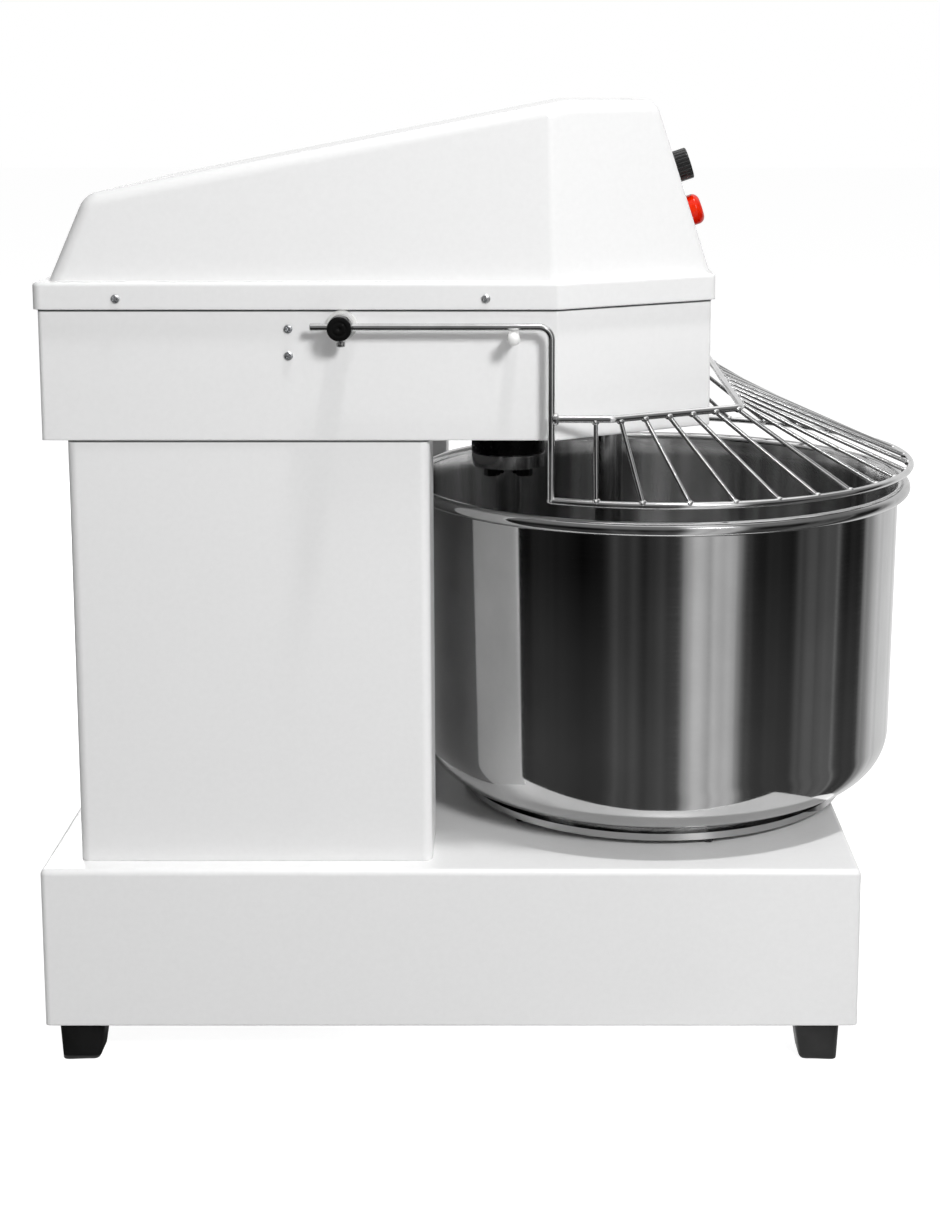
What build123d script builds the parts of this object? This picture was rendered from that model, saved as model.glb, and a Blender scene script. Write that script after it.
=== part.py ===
from build123d import *
from math import acos, cos, degrees, hypot, radians, sin, tan
import os

os.makedirs("parts", exist_ok=True)

# Spiral dough mixer. Sizes are in millimetres and angles in degrees.
# X points to the front, Y to the operator's right and Z up from the floor.

# Feet and base box
foot_height = 35.0
foot_top_side = 39.0
foot_bottom_side = 32.0
foot_corner_radius = 6.0
foot_lean = 2.0
foot_front_inset = 34.0
foot_rear_inset = 30.0
foot_inset_y = 24.0
foot_counterbore_radius = 10.0
foot_counterbore_depth = 14.0
foot_bolt_grip = 33.0
base_rear_x = -381.5
base_length = 689.5
base_width = 466.0
base_height = 138.0
base_sheet = 2.5
base_bend_radius = 5.0
base_flange_width = 52.0
bottom_plate_thickness = 2.0
bottom_plate_edge_gap = 3.0

# Column
column_rear_x = -351.0
column_length = 298.0
column_width = 424.0
column_height = 362.0
column_sheet = 2.0
column_edge_radius = 8.0
column_bowl_clearance = 12.0
rear_panel_width = 330.0
rear_panel_height = 270.0
rear_panel_rise = 60.0
rear_panel_thickness = 2.0
rear_panel_lap = 14.0
rear_panel_corner_radius = 10.0
vent_slot_length = 90.0
vent_slot_height = 6.0
vent_slot_pitch = 18.0
vent_slot_count = 5
vent_rise = 46.0
gland_rise = 30.0
gland_offset_y = 120.0
gland_nut_radius = 13.0
gland_nut_length = 8.0
gland_dome_radius = 10.0
gland_dome_length = 14.0
gland_thread_radius = 9.0
gland_thread_length = 14.0
gland_bore_radius = 5.0

# Head casing and cover
head_rear_x = -371.0
head_crease_x = 52.0
head_nose_x = 184.0
head_width = 426.0
head_nose_width = 262.0
head_sheet = 2.0
head_edge_radius = 4.0
casing_height = 123.0
cover_lap = 15.0
cover_band_height = 22.0
cover_band_overhang = 3.5
cover_band_gap = 0.5
cover_band_edge_radius = 3.0
cover_wall = 3.0
cover_inset = 6.5
cover_side_draft = 5.0
cover_rear_x = -367.0
cover_rear_lean = 23.2
cover_rear_rise = 77.0
cover_ridge_x = 58.0
cover_top_rise = 153.0
cover_rear_radius = 20.0
cover_brow_radius = 15.0
cover_ridge_radius = 60.0
cover_edge_radius = 12.0
cover_crease_radius = 14.0
panel_foot_x = 186.0
panel_tilt = 18.3

# Pan screws: cover, rear panel and guard switch
screw_head_radius = 3.6
screw_head_height = 2.5
screw_radius = 2.0
screw_length = 10.0
screw_hole_gap = 0.1
cover_screw_rear_x = -306.0
cover_screw_front_x = -6.0
cover_screw_rise = 117.0

# Hexagon bolts of the drives
bolt_head_radius = 7.5
bolt_head_height = 5.3
bolt_radius = 4.0
bolt_length = 12.0
bolt_hole_gap = 0.2
bolt_thread_gap = 0.05

# Bowl
bowl_axis_x = 146.0
bowl_lift = 17.0
bowl_height = 273.0
bowl_rim_radius = 222.0
bowl_lower_radius = 218.5
bowl_wall = 2.0
bowl_floor = 6.0
bowl_corner_radius = 48.0
bowl_inner_corner_radius = 44.0
bead_radius = 6.0
bead_bite = 1.0
foot_ring_lip = 20.0
foot_ring_thickness = 6.0
foot_ring_web_inset = 13.5
foot_ring_web_width = 9.0
foot_ring_web_height = 6.0
ring_screw_count = 6
ring_screw_inset = 5.0
ring_screw_start = -76.5
ring_screw_head_radius = 4.2
ring_screw_head_height = 3.6
ring_screw_radius = 2.0

# Bowl drive
bowl_shaft_radius = 15.0
bowl_hub_radius = 70.0
bowl_hub_thickness = 6.0
bowl_bolt_count = 6
bowl_bolt_pitch_radius = 54.0
bowl_bolt_bite = 5.0
bowl_housing_flange_radius = 62.0
bowl_housing_flange = 10.0
bowl_housing_radius = 36.0
bowl_housing_length = 66.0
bowl_housing_bolt_pitch_radius = 50.0
bowl_bearing_radius = 31.0
bowl_bearing_width = 16.0
bowl_bearing_recess = 3.0
bowl_bearing_shoulder = 3.0
bowl_pulley_radius = 150.0
bowl_pulley_drop = 71.0
bowl_pulley_hub_radius = 32.0
pulley_rim = 12.0
pulley_web = 8.0
pulley_width = 25.0
belt_width = 20.0
belt_thickness = 4.0
belt_gap = 0.3
running_gap = 0.05
shaft_hole_gap = 3.0
gearmotor_setback = 151.0
gearbox_side = 120.0
gearbox_height = 60.0
gearbox_edge_radius = 8.0
gearbox_bolt_offset = 48.0
gearmotor_radius = 50.0
gearmotor_height = 127.0
gearmotor_shaft_radius = 10.0
gearmotor_shaft_seat = 30.0
gearmotor_pulley_radius = 45.0

# Spiral and its drive
spiral_wall_gap = 8.5
spiral_rod_radius = 12.0
spiral_coil_radius = 60.0
spiral_toe_radius = 40.0
spiral_toe_step = 6.0
spiral_lead_radius = 34.0
spiral_neck = 47.0
spiral_coil_top_drop = 72.0
spiral_floor_gap = 14.0
spiral_step_angle = 45.0
spiral_steps = 11
spiral_start_angle = 150.0
spiral_lead_bend_radius = 18.0
spiral_bend_radius = 30.0
spiral_flange_radius = 34.0
spiral_flange_thickness = 12.0
spiral_flange_gap = 1.0
spiral_bolt_pitch_radius = 21.0
spiral_bolt_head_radius = 7.5
spiral_bolt_head_height = 8.0
spiral_bolt_grip = 20.0
spiral_bolt_count = 4
housing_radius = 34.0
housing_drop = 45.0
housing_tower = 21.0
housing_flange_radius = 58.0
housing_flange = 10.0
housing_bolt_pitch_radius = 47.0
housing_hole_gap = 0.3
spiral_shaft_radius = 12.5
spiral_shaft_flange_radius = 26.5
spiral_shaft_flange = 12.0
spiral_shaft_rise = 62.0
spiral_shaft_flange_gap = 1.0
spiral_bearing_radius = 26.0
spiral_bearing_width = 15.0
spiral_bearing_lip = 3.0
spiral_pulley_radius = 140.0
spiral_pulley_rise = 27.0
spiral_pulley_hub_radius = 28.0
motor_setback = 126.0
motor_radius = 70.0
motor_length = 180.0
motor_edge_radius = 10.0
motor_flange_radius = 92.0
motor_flange = 12.0
motor_bolt_pitch_radius = 80.0
motor_shaft_radius = 9.5
motor_shaft_seat = 40.0
motor_pulley_radius = 28.0

# Breaker bar
breaker_radius = 12.5
breaker_spiral_gap = 8.5
breaker_floor_gap = 19.0
breaker_end_radius = 5.0
breaker_stud_radius = 8.0
breaker_stud_length = 20.0
breaker_nut_radius = 15.0
breaker_nut_height = 13.0

# Guard
guard_pivot_x = -123.0
guard_pivot_rise = 95.0
guard_shaft_radius = 9.5
guard_shaft_overhang = 26.0
guard_cap_radius = 10.5
guard_cap_length = 11.0
guard_cap_cover = 4.0
guard_bush_radius = 11.0
guard_bush_flange_radius = 12.5
guard_bush_flange = 3.0
guard_bush_length = 12.0
guard_rod_radius = 3.0
guard_rod_gap = 0.05
guard_arm_offset = 15.0
guard_arm_tail = 25.0
guard_arm_front_x = 47.0
guard_arm_bend_radius = 10.0
guard_arm_toe = 46.0
guard_arm_toe_bend_radius = 30.0
guard_ring_radius = 232.5
guard_ring_rise = 21.0
guard_inner_rise = 20.0
guard_inner_corner_x = 97.0
guard_inner_front_x = 208.0
guard_inner_front_width = 330.0
guard_inner_bend_radius = 15.0
guard_bar_radius = 2.0
guard_bar_bite = 1.0
guard_bar_pitch_angle = 9.59
guard_side_bars = 7
guard_front_bars = 4
guard_first_bar_x = 83.0
guard_side_bar_pitch = 20.0
guard_front_bar_pitch = 32.6
set_screw_radius = 2.0
set_screw_head_radius = 3.6
set_screw_head_height = 4.0
set_screw_reach = 9.0
peg_x = 16.5
peg_radius = 5.0
peg_length = 32.0
peg_gap = 0.3
peg_end_radius = 1.0
peg_spigot_radius = 3.0
peg_spigot_length = 8.0
switch_x = -167.0
switch_upper_rise = 92.0
switch_lower_rise = 70.0
switch_length = 48.0
switch_width = 26.0
switch_depth = 24.0
magnet_collar_radius = 16.0
magnet_collar_length = 14.0
magnet_wall_gap = 8.0
magnet_tab_reach = 27.0
magnet_tab_width = 12.0

# Controls on the front panel
selector_up_panel = 94.8
stop_up_panel = 53.2
control_barrel_radius = 11.0
control_barrel_length = 45.0
control_hole_gap = 0.2
selector_bezel_radius = 14.8
selector_bezel_height = 3.0
selector_knob_radius = 14.3
selector_knob_height = 15.9
selector_knob_gap = 0.4
selector_knob_edge_radius = 1.5
selector_rib_count = 24
selector_rib_radius = 0.9
selector_spindle_radius = 4.0
selector_spindle_length = 14.0
stop_collar_radius = 15.2
stop_collar_height = 5.0
stop_collar_floor = 0.5
stop_button_radius = 14.0
stop_button_gap = 0.3
stop_button_height = 12.7
stop_button_edge_radius = 6.5
stop_stem_radius = 5.0
stop_stem_length = 18.0
stop_travel = 4.0

# Levels and places that follow from the sizes above
base_bottom = foot_height
base_top = base_bottom + base_height
base_inside_top = base_top - base_sheet
base_mid_x = base_rear_x + base_length / 2
base_front_x = base_rear_x + base_length
column_top = base_top + column_height
column_mid_x = column_rear_x + column_length / 2
casing_floor = column_top + head_sheet
casing_top = column_top + casing_height
head_side = head_width / 2
bowl_bottom = base_top + bowl_lift
bowl_floor_top = bowl_bottom + bowl_floor
rim_z = bowl_bottom + bowl_height
bead_centre_radius = bowl_rim_radius + bead_radius - bead_bite
column_recess_radius = bead_centre_radius + bead_radius + column_bowl_clearance
foot_ring_web_radius = bowl_lower_radius - bowl_corner_radius - foot_ring_web_inset
foot_ring_inner_radius = foot_ring_web_radius - foot_ring_web_width
foot_ring_radius = foot_ring_web_radius + foot_ring_lip
ring_screw_pitch_radius = foot_ring_radius - ring_screw_inset
foot_ring_top = bowl_bottom - foot_ring_web_height
foot_ring_bottom = foot_ring_top - foot_ring_thickness
bowl_hub_bottom = bowl_bottom - bowl_hub_thickness
bowl_housing_bottom = base_inside_top - bowl_housing_length
bowl_pulley_top = base_inside_top - bowl_pulley_drop
bowl_pulley_bottom = bowl_pulley_top - pulley_width
gearmotor_x = column_rear_x + gearmotor_setback
spiral_reach = spiral_coil_radius + spiral_rod_radius
spiral_axis_x = bowl_axis_x - bowl_lower_radius + bowl_wall + spiral_wall_gap + spiral_reach
breaker_x = spiral_axis_x + spiral_reach + breaker_spiral_gap + breaker_radius
breaker_bottom = bowl_floor_top + breaker_floor_gap
housing_bottom = column_top - housing_drop
housing_top = casing_floor + housing_tower
spiral_flange_top = housing_bottom - spiral_flange_gap
spiral_flange_bottom = spiral_flange_top - spiral_flange_thickness
spiral_shaft_top = casing_floor + spiral_shaft_rise
spiral_pulley_bottom = casing_floor + spiral_pulley_rise
motor_x = column_rear_x + motor_setback
guard_pivot_z = column_top + guard_pivot_rise
guard_arm_y = head_side + guard_arm_offset
guard_ring_z = rim_z + guard_ring_rise
guard_inner_z = column_top + guard_inner_rise
guard_ring_end = degrees(acos((guard_arm_front_x - bowl_axis_x) / guard_ring_radius))
guard_ring_end_y = guard_ring_radius * sin(radians(guard_ring_end))
peg_z = guard_pivot_z - guard_rod_radius - peg_gap - peg_radius
cover_side = head_side + cover_band_overhang
cover_screw_z = column_top + cover_screw_rise
up = (0, 0, 1)
down = (0, 0, -1)
rearward = (-1, 0, 0)
sides = ((-1, "left"), (1, "right"))


def section_plane(x):
    """Upright half-section plane: local x runs out from the axis at x and local y is the height."""
    return Plane(origin=(x, 0, 0), x_dir=(1, 0, 0), z_dir=(0, -1, 0))


def face_at(x, y, z, normal):
    """Plane through a point, facing along the normal."""
    return Plane(origin=(x, y, z), z_dir=normal)


def panel_plane(up_panel):
    """Plane of the sloping front panel, at a distance up the panel from its foot."""
    tilt = radians(panel_tilt)
    x = panel_foot_x - up_panel * sin(tilt)
    z = casing_top + up_panel * cos(tilt)
    return Plane(origin=(x, 0, z), x_dir=(0, 1, 0), z_dir=(cos(tilt), 0, sin(tilt)))


def on_circle(x, radius, count, start):
    """Evenly spaced places on a circle about the upright axis at x."""
    turns = [radians(start + 360 * step / count) for step in range(count)]
    return [(x + radius * cos(turn), radius * sin(turn)) for turn in turns]


def rod(plane, radius, length):
    """Add a round bar that stands on the plane to the part in hand."""
    with BuildSketch(plane) as disc:
        Circle(radius)
    extrude(disc.sketch, amount=length)


def bore(plane, radius, depth):
    """Cut a round hole into the part in hand, from the plane against its normal."""
    with BuildSketch(plane) as disc:
        Circle(radius)
    extrude(disc.sketch, amount=-depth, mode=Mode.SUBTRACT)


def hex_bolt(plane, head_radius, head_height, shank_radius, grip):
    """Add a hexagon bolt whose head stands on the plane and whose shank goes in behind it."""
    with BuildSketch(plane) as head:
        RegularPolygon(head_radius, 6)
    extrude(head.sketch, amount=head_height)
    with BuildSketch(plane) as shank:
        Circle(shank_radius)
    extrude(shank.sketch, amount=-grip)


def pulley(x, bottom, radius, hub_radius, bore_radius):
    """Add a flat belt pulley with a rim, a web and a hub about the upright axis at x."""
    with BuildSketch(Plane.XY.offset(bottom)) as rim:
        with Locations((x, 0)):
            Circle(radius)
    extrude(rim.sketch, amount=pulley_width)
    if radius - pulley_rim > hub_radius:
        hollow = (pulley_width - pulley_web) / 2
        for level in (bottom, bottom + pulley_width - hollow):
            with BuildSketch(Plane.XY.offset(level)) as web:
                with Locations((x, 0)):
                    Circle(radius - pulley_rim)
                    Circle(hub_radius, mode=Mode.SUBTRACT)
            extrude(web.sketch, amount=hollow, mode=Mode.SUBTRACT)
    bore(face_at(x, 0, bottom + pulley_width, up), bore_radius, pulley_width)


def belt(bottom, first_x, first_radius, second_x, second_radius):
    """Add a flat belt that runs round two pulleys."""
    level = Plane.XY.offset(bottom + (pulley_width - belt_width) / 2)
    for grow, mode in ((belt_gap + belt_thickness, Mode.ADD), (belt_gap, Mode.SUBTRACT)):
        with BuildSketch(level) as loop:
            with Locations((first_x, 0)):
                Circle(first_radius + grow)
            with Locations((second_x, 0)):
                Circle(second_radius + grow)
            make_hull()
        extrude(loop.sketch, amount=belt_width, mode=mode)


def tube(plane, outer_radius, inner_radius, length):
    """Add a plain ring that stands on the plane."""
    with BuildSketch(plane) as ring:
        Circle(outer_radius)
        Circle(inner_radius, mode=Mode.SUBTRACT)
    extrude(ring.sketch, amount=length)


# Base box with its bowl hole, motor hole, folded-in bottom flange and foot holes.
foot_places = []
for end, foot_x in (("front", base_front_x - foot_front_inset), ("rear", base_rear_x + foot_rear_inset)):
    for side, side_name in sides:
        foot_places.append((f"foot_{end}_{side_name}", foot_x, side * (base_width / 2 - foot_inset_y)))
gearbox_bolts = [
    (gearmotor_x + a * gearbox_bolt_offset, b * gearbox_bolt_offset) for a in (-1, 1) for b in (-1, 1)
]
bowl_housing_bolts = on_circle(bowl_axis_x, bowl_housing_bolt_pitch_radius, 4, 45)

with BuildPart() as base_shell:
    with BuildSketch(Plane.XY.offset(base_bottom)):
        with Locations((base_mid_x, 0)):
            Rectangle(base_length, base_width)
    extrude(amount=base_height)
    fillet(base_shell.edges().filter_by(Axis.Z) + base_shell.edges().group_by(Axis.Z)[-1], base_bend_radius)
    with BuildSketch(Plane.XY.offset(base_bottom + base_sheet)):
        with Locations((base_mid_x, 0)):
            RectangleRounded(base_length - 2 * base_sheet, base_width - 2 * base_sheet, base_bend_radius)
    extrude(amount=base_height - 2 * base_sheet, mode=Mode.SUBTRACT)
    with BuildSketch(Plane.XY.offset(base_bottom)):
        with Locations((base_mid_x, 0)):
            Rectangle(base_length - 2 * base_flange_width, base_width - 2 * base_flange_width)
    extrude(amount=base_sheet, mode=Mode.SUBTRACT)
    bore(face_at(bowl_axis_x, 0, base_top, up), bowl_shaft_radius + shaft_hole_gap, base_sheet)
    bore(face_at(gearmotor_x, 0, base_top, up), gearmotor_radius + shaft_hole_gap, base_sheet)
    for x, y in gearbox_bolts + bowl_housing_bolts:
        bore(face_at(x, y, base_top, up), bolt_radius + bolt_hole_gap, base_sheet)
    for foot_name, x, y in foot_places:
        bore(face_at(x, y, base_bottom + base_sheet, up), bolt_radius + bolt_hole_gap, base_sheet)
base_shell.part.label = "base_shell"
export_step(base_shell.part, "parts/base_shell.step")

# Plate that closes the base; it lies on the flange and the foot bolts hold it.
with BuildPart() as base_bottom_plate:
    with BuildSketch(Plane.XY.offset(base_bottom + base_sheet)):
        with Locations((base_mid_x, 0)):
            RectangleRounded(
                base_length - 2 * base_sheet - 2 * bottom_plate_edge_gap,
                base_width - 2 * base_sheet - 2 * bottom_plate_edge_gap,
                base_bend_radius,
            )
    extrude(amount=bottom_plate_thickness)
    for foot_name, x, y in foot_places:
        bore(face_at(x, y, base_bottom + base_sheet + bottom_plate_thickness, up),
             bolt_radius + bolt_thread_gap, bottom_plate_thickness)
base_bottom_plate.part.label = "base_bottom_plate"
export_step(base_bottom_plate.part, "parts/base_bottom_plate.step")

# Four tapered rubber feet, counterbored from below; their soles lean towards the ends of the base.
for foot_name, x, y in foot_places:
    sole_x = x + (foot_lean if x > base_mid_x else -foot_lean)
    with BuildPart() as foot:
        with BuildSketch(face_at(sole_x, y, 0, up)):
            RectangleRounded(foot_bottom_side, foot_bottom_side, foot_corner_radius)
        with BuildSketch(face_at(x, y, foot_height, up)):
            RectangleRounded(foot_top_side, foot_top_side, foot_corner_radius)
        loft()
        bore(face_at(x, y, foot_counterbore_depth, up), foot_counterbore_radius, foot_counterbore_depth)
        bore(face_at(x, y, foot_height, up), bolt_radius + bolt_hole_gap, foot_height)
    foot.part.label = foot_name
    export_step(foot.part, f"parts/{foot_name}.step")

with BuildPart() as foot_bolts:
    for foot_name, x, y in foot_places:
        hex_bolt(face_at(x, y, foot_counterbore_depth, down), bolt_head_radius, bolt_head_height,
                 bolt_radius, foot_bolt_grip)
foot_bolts.part.label = "foot_bolts"
export_step(foot_bolts.part, "parts/foot_bolts.step")


# Column folded from sheet; its front is hollowed to clear the bowl rim.
def column_outline(inset):
    """Add the column's plan outline, moved inwards by the inset, to the sketch in hand."""
    with Locations((column_mid_x, 0)):
        RectangleRounded(column_length - 2 * inset, column_width - 2 * inset, column_edge_radius - inset)
    with Locations((bowl_axis_x, 0)):
        Circle(column_recess_radius + inset, mode=Mode.SUBTRACT)


rear_panel_low = base_top + rear_panel_rise
rear_panel_mid = rear_panel_low + rear_panel_height / 2
rear_screw_y = (rear_panel_width - rear_panel_lap) / 2
rear_screw_step = (rear_panel_height - rear_panel_lap) / 2
rear_panel_screws = [
    (side * rear_screw_y, rear_panel_mid + step * rear_screw_step) for side in (-1, 1) for step in (-1, 0, 1)
]
gland_z = base_top + gland_rise

with BuildPart() as column_shell:
    with BuildSketch(Plane.XY.offset(base_top)):
        column_outline(0)
    extrude(amount=column_height)
    with BuildSketch(Plane.XY.offset(base_top)):
        column_outline(column_sheet)
    extrude(amount=column_height, mode=Mode.SUBTRACT)
    with BuildSketch(face_at(column_rear_x, 0, rear_panel_mid, rearward)):
        Rectangle(rear_panel_height - 2 * rear_panel_lap, rear_panel_width - 2 * rear_panel_lap)
    extrude(amount=-column_sheet, mode=Mode.SUBTRACT)
    for y, z in rear_panel_screws:
        bore(face_at(column_rear_x, y, z, rearward), screw_radius + screw_hole_gap, column_sheet)
    bore(face_at(column_rear_x, gland_offset_y, gland_z, rearward),
         gland_thread_radius + screw_hole_gap, column_sheet)
column_shell.part.label = "column_shell"
export_step(column_shell.part, "parts/column_shell.step")

with BuildPart() as column_rear_panel:
    with BuildSketch(face_at(column_rear_x, 0, rear_panel_mid, rearward)):
        RectangleRounded(rear_panel_height, rear_panel_width, rear_panel_corner_radius)
    extrude(amount=rear_panel_thickness)
    for step in range(vent_slot_count):
        slot_z = rear_panel_low + vent_rise + step * vent_slot_pitch
        with BuildSketch(face_at(column_rear_x, 0, slot_z, rearward)):
            SlotOverall(vent_slot_length, vent_slot_height, rotation=90)
        extrude(amount=rear_panel_thickness, mode=Mode.SUBTRACT)
    for y, z in rear_panel_screws:
        bore(face_at(column_rear_x - rear_panel_thickness, y, z, rearward),
             screw_radius + screw_hole_gap, rear_panel_thickness)
column_rear_panel.part.label = "column_rear_panel"
export_step(column_rear_panel.part, "parts/column_rear_panel.step")

# Cable gland low on the back of the column.
with BuildPart() as cable_gland:
    gland_seat = face_at(column_rear_x, gland_offset_y, gland_z, rearward)
    with BuildSketch(gland_seat):
        RegularPolygon(gland_nut_radius, 6)
    extrude(amount=gland_nut_length)
    rod(gland_seat, gland_dome_radius, gland_nut_length + gland_dome_length)
    rod(face_at(column_rear_x + gland_thread_length, gland_offset_y, gland_z, rearward),
        gland_thread_radius, gland_thread_length)
    bore(gland_seat.offset(gland_nut_length + gland_dome_length), gland_bore_radius,
         gland_nut_length + gland_dome_length + gland_thread_length)
cable_gland.part.label = "cable_gland"
export_step(cable_gland.part, "parts/cable_gland.step")


# Head casing: a tray of folded sheet under the cover.
def head_outline(grow, edge_radius):
    """Add the head's plan outline, moved outwards by grow, to the sketch in hand."""
    outline = Polygon(
        (head_rear_x - grow, -head_side - grow),
        (head_crease_x + grow * head_crease_shift, -head_side - grow),
        (head_nose_x + grow, -head_nose_width / 2 - grow * head_nose_shift),
        (head_nose_x + grow, head_nose_width / 2 + grow * head_nose_shift),
        (head_crease_x + grow * head_crease_shift, head_side + grow),
        (head_rear_x - grow, head_side + grow),
        align=None,
    )
    fillet(outline.vertices(), edge_radius)


# How far the two bends of the outline travel along the side and along the nose for each
# millimetre that the outline grows.
head_cheek_run = head_nose_x - head_crease_x
head_cheek_step = head_side - head_nose_width / 2
head_cheek_length = hypot(head_cheek_run, head_cheek_step)
head_crease_shift = (head_cheek_length - head_cheek_run) / head_cheek_step
head_nose_shift = (head_cheek_length - head_cheek_step) / head_cheek_run
head_cheek_slope = head_cheek_step / head_cheek_run

housing_bolts = on_circle(spiral_axis_x, housing_bolt_pitch_radius, 4, 45)
motor_bolts = on_circle(motor_x, motor_bolt_pitch_radius, 4, 45)
cover_screw_places = [(x, side) for x in (cover_screw_rear_x, cover_screw_front_x) for side in (-1, 1)]
switch_screw_levels = [column_top + switch_upper_rise, column_top + switch_lower_rise]

with BuildPart() as head_casing:
    with BuildSketch(Plane.XY.offset(column_top)):
        head_outline(0, head_edge_radius)
    extrude(amount=casing_height)
    with BuildSketch(Plane.XY.offset(casing_floor)):
        head_outline(-head_sheet, head_edge_radius - head_sheet)
    extrude(amount=casing_height - head_sheet, mode=Mode.SUBTRACT)
    bore(face_at(spiral_axis_x, 0, casing_floor, up), housing_radius + housing_hole_gap, head_sheet)
    bore(face_at(breaker_x, 0, casing_floor, up), breaker_stud_radius + bolt_hole_gap, head_sheet)
    bore(face_at(motor_x, 0, casing_floor, up), motor_shaft_radius + shaft_hole_gap, head_sheet)
    for x, y in housing_bolts + motor_bolts:
        bore(face_at(x, y, casing_floor, up), bolt_radius + bolt_hole_gap, head_sheet)
    for side, side_name in sides:
        outward = (0, side, 0)
        bore(face_at(guard_pivot_x, side * head_side, guard_pivot_z, outward),
             guard_bush_radius + screw_hole_gap, head_sheet)
        bore(face_at(peg_x, side * head_side, peg_z, outward), peg_spigot_radius + screw_hole_gap, head_sheet)
    for x, side in cover_screw_places:
        bore(face_at(x, side * head_side, cover_screw_z, (0, side, 0)),
             screw_radius + screw_hole_gap, head_sheet)
    for z in switch_screw_levels:
        bore(face_at(switch_x, -head_side, z, (0, -1, 0)), screw_radius + screw_hole_gap, head_sheet)
head_casing.part.label = "head_casing"
export_step(head_casing.part, "parts/head_casing.step")


# Moulded cover: a band that laps over the casing and a sloping body above it.
def cover_body(inset, shrink):
    """Solid body of the cover, moved inwards by the inset, with its edge radii made smaller by shrink."""
    far = head_width
    side = head_side - cover_inset - inset
    crease_x = head_crease_x - (cover_inset + inset) * head_crease_shift
    tilt = radians(panel_tilt)
    lean = radians(cover_rear_lean)
    slope = (cover_top_rise - cover_rear_rise) / (
        cover_ridge_x - cover_rear_x - cover_rear_rise * tan(lean)
    )
    rear_x = cover_rear_x + inset / cos(lean)
    front_x = panel_foot_x - inset / cos(tilt)
    top = cover_top_rise - inset
    # Where the sloping top, moved in by the inset, meets the rear face and the flat top.
    slope_drop = inset * hypot(1, slope)
    ridge_x = cover_ridge_x + (slope_drop - inset) / slope
    rear_top = (top - slope * (ridge_x - rear_x)) / (1 - slope * tan(lean))
    with BuildPart() as body:
        with BuildSketch(Plane.XY.offset(casing_top)):
            Polygon(
                (-far, -side),
                (crease_x, -side),
                (crease_x + side / head_cheek_slope, 0),
                (crease_x, side),
                (-far, side),
                align=None,
            )
        extrude(amount=cover_top_rise, taper=cover_side_draft)
        upright_edges = body.edges().filter_by(lambda edge: abs((edge % 0.5).Z) > 0.5)
        fillet(upright_edges.filter_by_position(Axis.X, 0, head_nose_x), cover_crease_radius - shrink)
        with BuildSketch(section_plane(0)) as profile:
            Polygon(
                (rear_x, casing_top),
                (rear_x + rear_top * tan(lean), casing_top + rear_top),
                (ridge_x, casing_top + top),
                (front_x - top * tan(tilt), casing_top + top),
                (front_x, casing_top),
                align=None,
            )
            for x, height, radius in (
                (rear_x + rear_top * tan(lean), rear_top, cover_rear_radius),
                (front_x - top * tan(tilt), top, cover_brow_radius),
                (ridge_x, top, cover_ridge_radius),
            ):
                corner = profile.vertices().sort_by_distance((x, casing_top + height))[0]
                fillet(corner, radius - shrink)
        extrude(amount=head_width, both=True, mode=Mode.INTERSECT)
        # Round the edges where the top, the back and the panel meet the sides.
        top_faces = body.faces().filter_by(lambda face: abs(face.normal_at().Y) < 0.01)
        top_faces = top_faces.filter_by(lambda face: face.normal_at().Z > 0)
        side_edges = top_faces.edges().filter_by(lambda edge: abs(edge.center().Y) > 1)
        fillet(side_edges, cover_edge_radius - shrink)
    return body.part


cover_outside = cover_body(0, 0)
cover_inside = cover_body(cover_wall, cover_wall)
with BuildPart() as head_cover:
    with BuildSketch(Plane.XY.offset(casing_top - cover_lap)):
        head_outline(cover_band_overhang, head_edge_radius + cover_band_overhang)
    extrude(amount=cover_band_height)
    fillet(head_cover.edges().group_by(Axis.Z)[-1], cover_band_edge_radius)
    add(cover_outside)
    with BuildSketch(Plane.XY.offset(casing_top - cover_lap)):
        head_outline(cover_band_gap, head_edge_radius + cover_band_gap)
    extrude(amount=cover_lap, mode=Mode.SUBTRACT)
    add(cover_inside, mode=Mode.SUBTRACT)
    for x, side in cover_screw_places:
        bore(face_at(x, side * cover_side, cover_screw_z, (0, side, 0)),
             screw_radius + screw_hole_gap, cover_band_overhang)
    for up_panel in (selector_up_panel, stop_up_panel):
        bore(panel_plane(up_panel), control_barrel_radius + control_hole_gap, 2 * cover_wall)
head_cover.part.label = "head_cover"
export_step(head_cover.part, "parts/head_cover.step")

# Pan screws of the cover, the rear panel and the guard switch.
screw_seats = [face_at(x, side * cover_side, cover_screw_z, (0, side, 0)) for x, side in cover_screw_places]
for y, z in rear_panel_screws:
    screw_seats.append(face_at(column_rear_x - rear_panel_thickness, y, z, rearward))
for z in switch_screw_levels:
    screw_seats.append(face_at(switch_x, -head_side, z, (0, -1, 0)))
with BuildPart() as panel_screws:
    for seat in screw_seats:
        rod(seat, screw_head_radius, screw_head_height)
        rod(seat.offset(-screw_length), screw_radius, screw_length)
panel_screws.part.label = "panel_screws"
export_step(panel_screws.part, "parts/panel_screws.step")

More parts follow.
